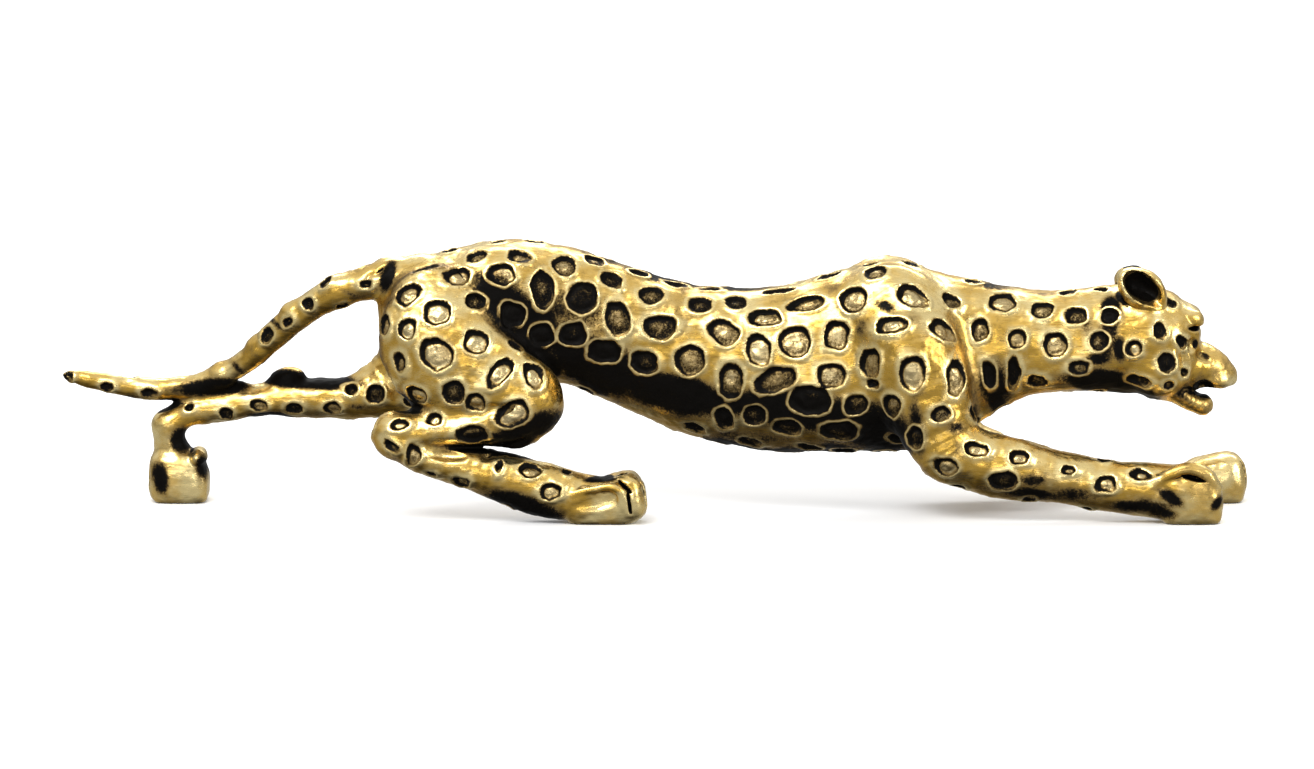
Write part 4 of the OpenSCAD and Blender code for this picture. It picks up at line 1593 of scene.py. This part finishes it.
def clear_nodes(name: str) -> tuple[bpy.types.Material, Wiring, bpy.types.Node]:
    """Makes a material with an empty tree.

    Args:
        name: Its name.

    Returns:
        The material, its wiring, and its Principled BSDF, which is linked to the output.
    """
    material = bpy.data.materials.new(name)
    material.use_nodes = True
    tree = material.node_tree
    tree.nodes.clear()
    w = Wiring(tree)
    shader = w.node("ShaderNodeBsdfPrincipled")
    output = w.node("ShaderNodeOutputMaterial")
    tree.links.new(shader.outputs[0], output.inputs["Surface"])
    return material, w, shader


def grain_group() -> bpy.types.NodeTree:
    """Builds the group for worked metal: fine scratches and pores.

    Returns:
        The group.
    """
    tree = bpy.data.node_groups.new("worked_metal", "ShaderNodeTree")
    w = Wiring(tree)
    w.socket("Scale", "INPUT", "NodeSocketFloat", 1.0)
    for name in ("Scratches", "Pores", "Cloud"):
        w.socket(name, "OUTPUT", "NodeSocketFloat")
    given = w.node("NodeGroupInput").outputs
    where = w.node("ShaderNodeTexCoord").outputs["Object"]
    where = w.node("ShaderNodeVectorMath", {0: where, "Scale": given["Scale"]}, operation="SCALE").outputs[0]
    stretch = {"Vector": where, "Rotation": (0.3, 0.5, 0.2), "Scale": (300.0, 3200.0, 3000.0)}
    scratches = w.noise(1.0, 2.0, 0.6, w.node("ShaderNodeMapping", stretch).outputs[0])
    pores = w.noise(2300.0, 3.0, 0.6, where)
    cloud = w.noise(150.0, 4.0, 0.6, where)
    w.node("NodeGroupOutput", {"Scratches": scratches, "Pores": pores, "Cloud": cloud})
    return tree


@dataclass(frozen=True)
class AntiqueBrass:
    """Brass blackened all over, then rubbed back so that the patina stays in the recesses, with painted shade
    and painted highlight mixed into its colour.

    Distances from a spot's edge are in millimetres: below nought inside the spot, above nought outside it.
    """

    light: Row = (0.95, 0.765, 0.36, 1.0)
    deep: Row = (0.82, 0.55, 0.16, 1.0)
    black: Row = (0.003, 0.0025, 0.002, 1.0)
    brown: Row = (0.36, 0.235, 0.08, 1.0)
    amber: Row = (0.64, 0.39, 0.07, 1.0)
    ash: Row = (0.46, 0.37, 0.21, 1.0)
    polish: float = 0.27
    ragged: float = 0.4  # How far pores shift the patina's edge at a spot.
    shade: float = 0.45  # How much farther in a spot's black ring reaches on its deep, upper side, as painted shade of its wall.
    floor_spread: float = 1.6  # How uneven it is on a spot's floor.
    floor_more: float = 0.04  # Added to what each spot's own row leaves on its floor.
    smudged: float = 0.65  # The most that a smudge blackens.
    bared_lip: float = 0.85  # How much of a patch is rubbed off the lip of a spot.
    relief: float = 0.14 * MM

    def build(self, grain: bpy.types.NodeTree) -> bpy.types.Material:
        """Builds the material.

        Args:
            grain: The group for worked metal.

        Returns:
            The material.
        """
        material, w, shader = clear_nodes("antique_brass")
        masks = {n: w.node("ShaderNodeAttribute", attribute_name=n).outputs["Fac"]
                 for n in ("edge", "fill", "soot", "crevice", "slant")}
        masks.update(w.node("ShaderNodeGroup", node_tree=grain).outputs.items())
        edge, pores, scratches = masks["edge"], masks["Pores"], masks["Scratches"]
        masks["drift"] = w.minus(masks["Cloud"], 0.5)
        masks["blotch"] = w.minus(w.noise(500.0, 3.0), 0.5)
        masks["lip"] = w.times(w.ramp(edge, 0.02, 0.15), w.ramp(edge, 0.6, 0.3))
        left = self.patina(w, masks)
        w.tree.links.new(self.colour(w, masks, left), shader.inputs["Base Color"])
        w.tree.links.new(w.ramp(left, 0.4, 1.0, 1.0, 0.25, False), shader.inputs["Metallic"])
        rough = w.ramp(scratches, 0.3, 0.7, self.polish - 0.05, self.polish + 0.09, False)
        w.tree.links.new(w.plus(rough, w.times(left, 0.16)), shader.inputs["Roughness"])
        shader.inputs["Specular IOR Level"].default_value = 0.05
        pitted = w.times(pores, w.ramp(edge, 0.0, -0.4, 0.3, 1.1))
        height = w.plus(pitted, w.plus(w.times(scratches, 0.12), w.times(masks["Cloud"], 1.4)))
        bump = w.node("ShaderNodeBump", {"Strength": 0.45, "Distance": self.relief, "Height": height})
        w.tree.links.new(bump.outputs[0], shader.inputs["Normal"])
        return material

    def patina(self, w: Wiring, masks: dict[str, bpy.types.NodeSocket]) -> bpy.types.NodeSocket:
        """Gives how much patina is left: in the spots, in patches, in shut-in corners and in smudges, with
        painted shade in a spot's ring on its upper side and in the stored patches and undersides.

        Args:
            w: Wiring of the material.
            masks: The casting's stored values, and the worked metal's.

        Returns:
            The patina, from 0 to 1.
        """
        edge, drift, blotch = masks["edge"], masks["drift"], masks["blotch"]
        speckle = w.minus(masks["Pores"], 0.5)
        ragged = w.plus(edge, w.times(speckle, self.ragged))
        # Painted shade: on a spot's upper side, where its wall is in shadow, the black ring reaches farther
        # in.
        inner = w.plus(ragged, w.times(masks["slant"], self.shade))
        ring = w.times(w.ramp(ragged, 0.12, -0.1), w.ramp(inner, -0.9, -0.45))
        middle = w.ramp(edge, -0.7, -1.7)
        left = w.plus(masks["fill"], w.plus(w.times(speckle, 0.7), w.times(middle, -0.25)))
        left = w.plus(left, w.times(w.minus(w.noise(700.0, 2.0), 0.5), self.floor_spread))
        left = w.plus(left, self.floor_more)
        floor = w.times(w.ramp(ragged, -0.05, -0.3), w.ramp(left, 0.3, 0.75))
        # Black patches from the stored patina and painted shade, broken up by noise and rubbed off the lips.
        loose = w.plus(w.plus(w.times(speckle, 0.35), w.times(blotch, 0.8)), drift)
        patch = w.ramp(w.plus(masks["soot"], loose), 0.34, 0.6)
        patch = w.times(patch, w.minus(1.0, w.times(masks["lip"], self.bared_lip)))
        corner = w.ramp(w.plus(masks["crevice"], w.times(speckle, 0.3)), 0.5, 0.85)
        smudge = w.times(w.ramp(w.plus(drift, w.times(blotch, 0.4)), 0.09, 0.26), self.smudged)
        return w.most(ring, floor, patch, corner, smudge)

    def colour(self, w: Wiring, masks: dict[str, bpy.types.NodeSocket],
               left: bpy.types.NodeSocket) -> bpy.types.NodeSocket:
        """Gives the colour: gold, amber between spots that deepens as painted shade where the skin faces away
        from up, dull floors, lips lightened as a painted highlight, brown where patina thins and where
        painted shade is stored.

        Args:
            w: Wiring of the material.
            masks: The casting's stored values, and the worked metal's.
            left: How much patina is left.

        Returns:
            The colour.
        """
        edge, drift, blotch = masks["edge"], masks["drift"], masks["blotch"]
        gold = w.mix(w.ramp(masks["Cloud"], 0.62, 0.38), self.deep, self.light)
        normal = w.node("ShaderNodeNewGeometry").outputs["Normal"]
        up = w.node("ShaderNodeSeparateXYZ", {0: normal}).outputs[2]
        between = w.times(w.ramp(edge, 0.35, 1.2), w.ramp(edge, 5.0, 3.0))
        between = w.times(between, w.ramp(w.plus(drift, w.times(blotch, 0.5)), -0.3, 0.0))
        # Painted shade: the amber grows as the skin turns away from facing up.
        between = w.times(between, w.ramp(up, 0.85, 0.1, 0.2, 1.0))
        gold = w.mix(between, gold, self.amber)
        # Brown where the stored patina and painted shade is partial: painted shade on down-facing skin and
        # lower edges, and the fringes of patina patches.
        gold = w.mix(w.times(w.ramp(masks["soot"], 0.05, 0.5), 0.5), gold, self.brown)
        gold = w.mix(w.times(w.ramp(edge, 0.0, -0.4), 0.7), gold, self.ash)
        # Painted highlight: the lips of the spots are lightened to the light gold.
        gold = w.mix(w.times(masks["lip"], 0.7), gold, self.light)
        warm = w.mix(w.ramp(left, 0.0, 0.5), gold, self.brown)
        return w.mix(w.ramp(left, 0.3, 1.0), warm, self.black)


@dataclass(frozen=True)
class TurnedSteel:
    """Turned or ground steel for pins and inserts."""

    name: str
    colour: Row
    polish: float
    shade: float = 0.7  # Its darkest places, as a part of its colour.
    relief: float = 0.03 * MM

    def build(self, grain: bpy.types.NodeTree) -> bpy.types.Material:
        """Builds the material.

        Args:
            grain: The group for worked metal.

        Returns:
            The material.
        """
        material, w, shader = clear_nodes(self.name)
        worked = w.node("ShaderNodeGroup", node_tree=grain).outputs
        shaded = (*(c * self.shade for c in self.colour[:3]), 1.0)
        colour = w.mix(w.ramp(worked["Cloud"], 0.3, 0.7), self.colour, shaded)
        w.tree.links.new(colour, shader.inputs["Base Color"])
        rough = w.ramp(worked["Scratches"], 0.3, 0.7, self.polish, self.polish + 0.18, False)
        w.tree.links.new(rough, shader.inputs["Roughness"])
        shader.inputs["Metallic"].default_value = 1.0
        scratched = {"Strength": 0.3, "Distance": self.relief, "Height": worked["Scratches"]}
        w.tree.links.new(w.node("ShaderNodeBump", scratched).outputs[0], shader.inputs["Normal"])
        return material


# --------------------------------------------------------------------------------------------------
# Castings
# --------------------------------------------------------------------------------------------------


@dataclass
class Foundry:
    """Makes each casting as its own closed mesh."""

    figure: Figure
    coat: Coat
    scale: Array
    pitch: float
    press: SpotPress = field(default_factory=SpotPress)
    spare: float = 1.5  # Room round a group for its fillets.
    insert_gap: float = 0.05
    insert_relief: float = 0.4
    sharp: float = math.radians(70)

    def bore_for(self, casting: Casting) -> Bore | None:
        """Gives the hole for a casting's threaded insert, from the insert's own box.

        Args:
            casting: The casting.

        Returns:
            The hole, or None where it has no insert.
        """
        if not casting.insert:
            return None
        low, high = (np.array(v) / self.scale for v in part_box(casting.insert))
        middle = (low + high) / 2
        radius = (high[0] - low[0]) / 2 + self.insert_gap
        return Bore((middle[0], middle[1]), radius, high[2] + self.insert_relief)

    def crevice(self, points: Array, outs: Array) -> Array:
        """Gives how shut in a point is, from 0 to 1.

        Args:
            points: Points on the skin.
            outs: Outward directions there.

        Returns:
            One value for each point.
        """
        total = np.zeros(len(points))
        for reach, weight in ((0.7, 0.4), (1.6, 0.35), (3.2, 0.25)):
            free = in_batches(lambda p: (self.figure.skin(p), p[:, 0]), points + outs * reach)[0]
            total += weight * np.clip((reach - free) / reach, 0, 1)
        return np.clip(total * 1.6, 0, 1)

    def cast(self, casting: Casting, metal: bpy.types.Material) -> tuple[bpy.types.Object, Array, Array]:
        """Casts one piece, without its spots.

        Args:
            casting: Which piece.
            metal: Its material.

        Returns:
            The object, its vertices and their outward directions, in drawn millimetres.
        """
        bore = self.bore_for(casting)
        low, high = self.figure.groups[casting.clay].box()
        low, high = low - self.spare, high + self.spare
        if casting.half > 0:
            low[1] = -0.5
        elif casting.half < 0:
            high[1] = 0.5
        net = Net(lambda p: self.figure.both(casting, p, bore), low, high, max(self.pitch, casting.finest))
        points, faces, crease = net.wrap()
        points, outs, skin = net.settle(points, crease)
        mesh = bpy.data.meshes.new(casting.name)
        mesh.vertices.add(len(points))
        mesh.vertices.foreach_set("co", (points * self.scale).ravel())
        mesh.loops.add(faces.size)
        mesh.loops.foreach_set("vertex_index", faces.ravel().astype(np.int32))
        mesh.polygons.add(len(faces))
        mesh.polygons.foreach_set("loop_start", np.arange(0, faces.size, 4, dtype=np.int32))
        mesh.update(calc_edges=True)
        columns = {
            "skin": skin,
            # Patina in patches and hollows, with painted shade on down-facing skin and lower edges; seam
            # walls fully black.
            "soot": np.where(skin > 0, self.coat.patina(points, outs), 1.0),
            "crevice": self.crevice(points, outs),
            "seam": crease,
        }
        for name, values in columns.items():
            made = mesh.attributes.new(name, "FLOAT", "POINT")
            made.data.foreach_set("value", values.astype(np.float32))
        made = mesh.attributes.new("out", "FLOAT_VECTOR", "POINT")
        made.data.foreach_set("vector", outs.astype(np.float32).ravel())
        mesh.materials.append(metal)
        piece = bpy.data.objects.new(casting.name, mesh)
        bpy.context.scene.collection.objects.link(piece)
        return piece, points[skin > 0.5], outs[skin > 0.5]

    def finish(self, piece: bpy.types.Object, metal: bpy.types.Material) -> None:
        """Presses the spots that reach a piece, and smooths its shading.

        Args:
            piece: The casting.
            metal: Its material.
        """
        corners = np.array([piece.matrix_world @ Vector(c) for c in piece.bound_box]) / self.scale
        low, high = corners.min(0) - 3, corners.max(0) + 3
        near = [s for s in self.coat.spots if (s.centre > low).all() and (s.centre < high).all()]
        self.press.press(piece, near, self.scale, metal)
        piece.data.shade_smooth()
        piece.data.set_sharp_from_angle(angle=self.sharp)
        self.sharpen_seams(piece.data)

    @staticmethod
    def sharpen_seams(mesh: bpy.types.Mesh) -> None:
        """Marks the edges where a casting meets its neighbours as sharp, and takes the seam's values off.

        Args:
            mesh: The casting's mesh.
        """
        ends = np.empty(len(mesh.edges) * 2, np.int32)
        mesh.edges.foreach_get("vertices", ends)
        seam = np.empty(len(mesh.vertices), np.float32)
        mesh.attributes["seam"].data.foreach_get("value", seam)
        sharp = np.zeros(len(mesh.edges), bool)
        if "sharp_edge" in mesh.attributes:
            mesh.attributes["sharp_edge"].data.foreach_get("value", sharp)
        else:
            mesh.attributes.new("sharp_edge", "BOOLEAN", "EDGE")
        sharp |= (seam[ends.reshape(-1, 2)] > 0.5).all(1)
        mesh.attributes["sharp_edge"].data.foreach_set("value", sharp)
        mesh.attributes.remove(mesh.attributes["seam"])

    def run(self, metal: bpy.types.Material) -> None:
        """Makes every casting, and puts each in the frame.

        Args:
            metal: Their material.
        """
        self.coat.lay_out()
        made, skins = [], []
        for casting in CASTINGS:
            piece, points, outs = self.cast(casting, metal)
            made.append((casting, piece))
            skins.append((points, outs))
            LOG.info("%s: %d faces", piece.name, len(piece.data.polygons))
        self.coat.fill(np.concatenate([s[0] for s in skins]), np.concatenate([s[1] for s in skins]))
        LOG.info("%d spots", len(self.coat.spots))
        for casting, piece in made:
            self.finish(piece, metal)
            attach(piece, "root")
            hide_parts(casting.node)


@dataclass
class Hardware:
    """The pins and inserts, which stay as the frame gives them and get a better finish."""

    pins: TurnedSteel = TurnedSteel("ground_pin_steel", (0.56, 0.56, 0.57, 1.0), 0.24)
    inserts: TurnedSteel = TurnedSteel("turned_insert_steel", (0.5, 0.49, 0.46, 1.0), 0.3)

    def dress(self, grain: bpy.types.NodeTree, nodes: Iterable[str]) -> None:
        """Gives each carried-over node its finish.

        Args:
            grain: The group for worked metal.
            nodes: Names of the nodes.
        """
        pin, insert = self.pins.build(grain), self.inserts.build(grain)
        for name in nodes:
            thing = bpy.data.objects[name]
            thing.data.materials.clear()
            thing.data.materials.append(insert if name.endswith("insert") else pin)
            LOG.info("%s: dressed", name)


# --------------------------------------------------------------------------------------------------
# Studio
# --------------------------------------------------------------------------------------------------


@dataclass
class Studio:
    """Floor, lights, world and camera."""

    centre: Array
    lens: float = 260.0
    sensor: float = 36.0
    view_width: float = 0.2205
    aim_height: float = 0.0213
    aim_forward: float = 0.0005
    floor_half: float = 6.0
    floor_drop: float = 0.0002
    lit: Row = (0, 0, 0.02)  # The point that the lamps face.

    def camera(self) -> None:
        """Makes the camera, level with the side of the cat and looking a little down."""
        data = bpy.data.cameras.new("camera")
        data.lens, data.sensor_width = self.lens, self.sensor
        thing = bpy.data.objects.new("camera", data)
        bpy.context.scene.collection.objects.link(thing)
        aim = Vector((self.centre[0] + self.aim_forward, 0.0, self.aim_height))
        away = self.view_width * self.lens / self.sensor
        thing.location = aim + Vector((0, -math.cos(GLANCE), math.sin(GLANCE))) * away
        thing.rotation_euler = (math.pi / 2 - GLANCE, 0, 0)
        data.clip_start, data.clip_end = 0.01, 20
        bpy.context.scene.camera = thing

    def floor(self) -> None:
        """Makes the pale floor."""
        mesh = bpy.data.meshes.new("floor")
        r, z = self.floor_half, -self.floor_drop
        mesh.from_pydata([(-r, -r, z), (r, -r, z), (r, r, z), (-r, r, z)], [], [(0, 1, 2, 3)])
        thing = bpy.data.objects.new("floor", mesh)
        bpy.context.scene.collection.objects.link(thing)
        material, w, shader = clear_nodes("pale_floor")
        shader.inputs["Base Color"].default_value = (0.93, 0.93, 0.93, 1)
        shader.inputs["Roughness"].default_value = 0.9
        mesh.materials.append(material)
        thing.visible_glossy = False
        thing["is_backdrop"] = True

    def world(self) -> None:
        """Makes a world that is plain white to the eye, and a dim room with a bright ceiling in gloss."""
        world = bpy.data.worlds.new("studio")
        bpy.context.scene.world = world
        world.use_nodes = True
        world.node_tree.nodes.clear()
        w = Wiring(world.node_tree)
        way = w.node("ShaderNodeTexCoord").outputs["Generated"]
        up = w.node("ShaderNodeSeparateXYZ", {0: way}).outputs[2]
        ramp = w.node("ShaderNodeValToRGB", {0: w.ramp(up, -1, 1, 0, 1, False)})
        stops = ramp.color_ramp
        stops.elements[0].position, stops.elements[0].color = 0.0, (0.04, 0.035, 0.03, 1)
        stops.elements[1].position, stops.elements[1].color = 1.0, (0.8, 0.8, 0.8, 1)
        for place, level in ((0.22, 0.44), (0.4, 0.5), (0.5, 0.34), (0.58, 0.34), (0.7, 0.7)):
            stop = stops.elements.new(place)
            stop.color = (level, level, level, 1)
        room = w.node("ShaderNodeBackground", {"Color": ramp.outputs[0], "Strength": 1.0})
        white = w.node("ShaderNodeBackground", {"Color": (1, 1, 1, 1), "Strength": 1.0})
        path = w.node("ShaderNodeLightPath").outputs
        choice = {0: path["Is Glossy Ray"], 1: white.outputs[0], 2: room.outputs[0]}
        w.node("ShaderNodeOutputWorld", {"Surface": w.node("ShaderNodeMixShader", choice).outputs[0]})
        bpy.context.scene.view_settings.view_transform = "Standard"

    def light(self, name: str, place: Row, size: tuple[float, float], power: float) -> None:
        """Makes a soft box.

        Args:
            name: Its name.
            place: Where it stands, in metres.
            size: Its width and height, in metres.
            power: Its power, in watts.
        """
        data = bpy.data.lights.new(name, "AREA")
        data.shape, data.size, data.size_y, data.energy = "RECTANGLE", size[0], size[1], power
        thing = bpy.data.objects.new(name, data)
        bpy.context.scene.collection.objects.link(thing)
        thing.location = place
        thing.rotation_euler = (Vector(self.lit) - Vector(place)).to_track_quat("-Z", "Y").to_euler()

    def build(self) -> None:
        """Sets the whole studio up."""
        self.camera()
        self.floor()
        self.world()
        self.light("key", (-0.3, -0.6, 0.75), (0.6, 0.35), 6.2)
        self.light("side", (0.75, -0.5, 0.3), (0.2, 0.5), 2.4)
        self.light("low", (-0.1, -0.9, 0.12), (0.9, 0.06), 1.1)
        self.light("back", (0.1, 0.55, 0.6), (0.7, 0.25), 3)


def plain(box: Iterable[Iterable[float]]) -> list[list[float]]:
    """Gives the two corners of a box as plain lists."""
    return [[float(v) for v in corner] for corner in box]


def main() -> None:
    """Builds the mascot in order."""
    logging.basicConfig(level=logging.INFO, format="%(name)s: %(message)s")
    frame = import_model()
    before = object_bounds()
    low, high = (np.array(corner) for corner in plain(before))
    scale = (high - low) / DRAWN
    Studio((low + high) / 2).build()
    grain = grain_group()
    figure = Figure()
    pitch = PITCH
    Foundry(figure, Coat(figure), scale, pitch).run(AntiqueBrass().build(grain))
    replaced = {c.node for c in CASTINGS}
    nodes = [sub["node"] for sub in frame["record"]["subparts"]]
    Hardware().dress(grain, [n for n in nodes if n not in replaced])


if __name__ == "__main__":
    main()
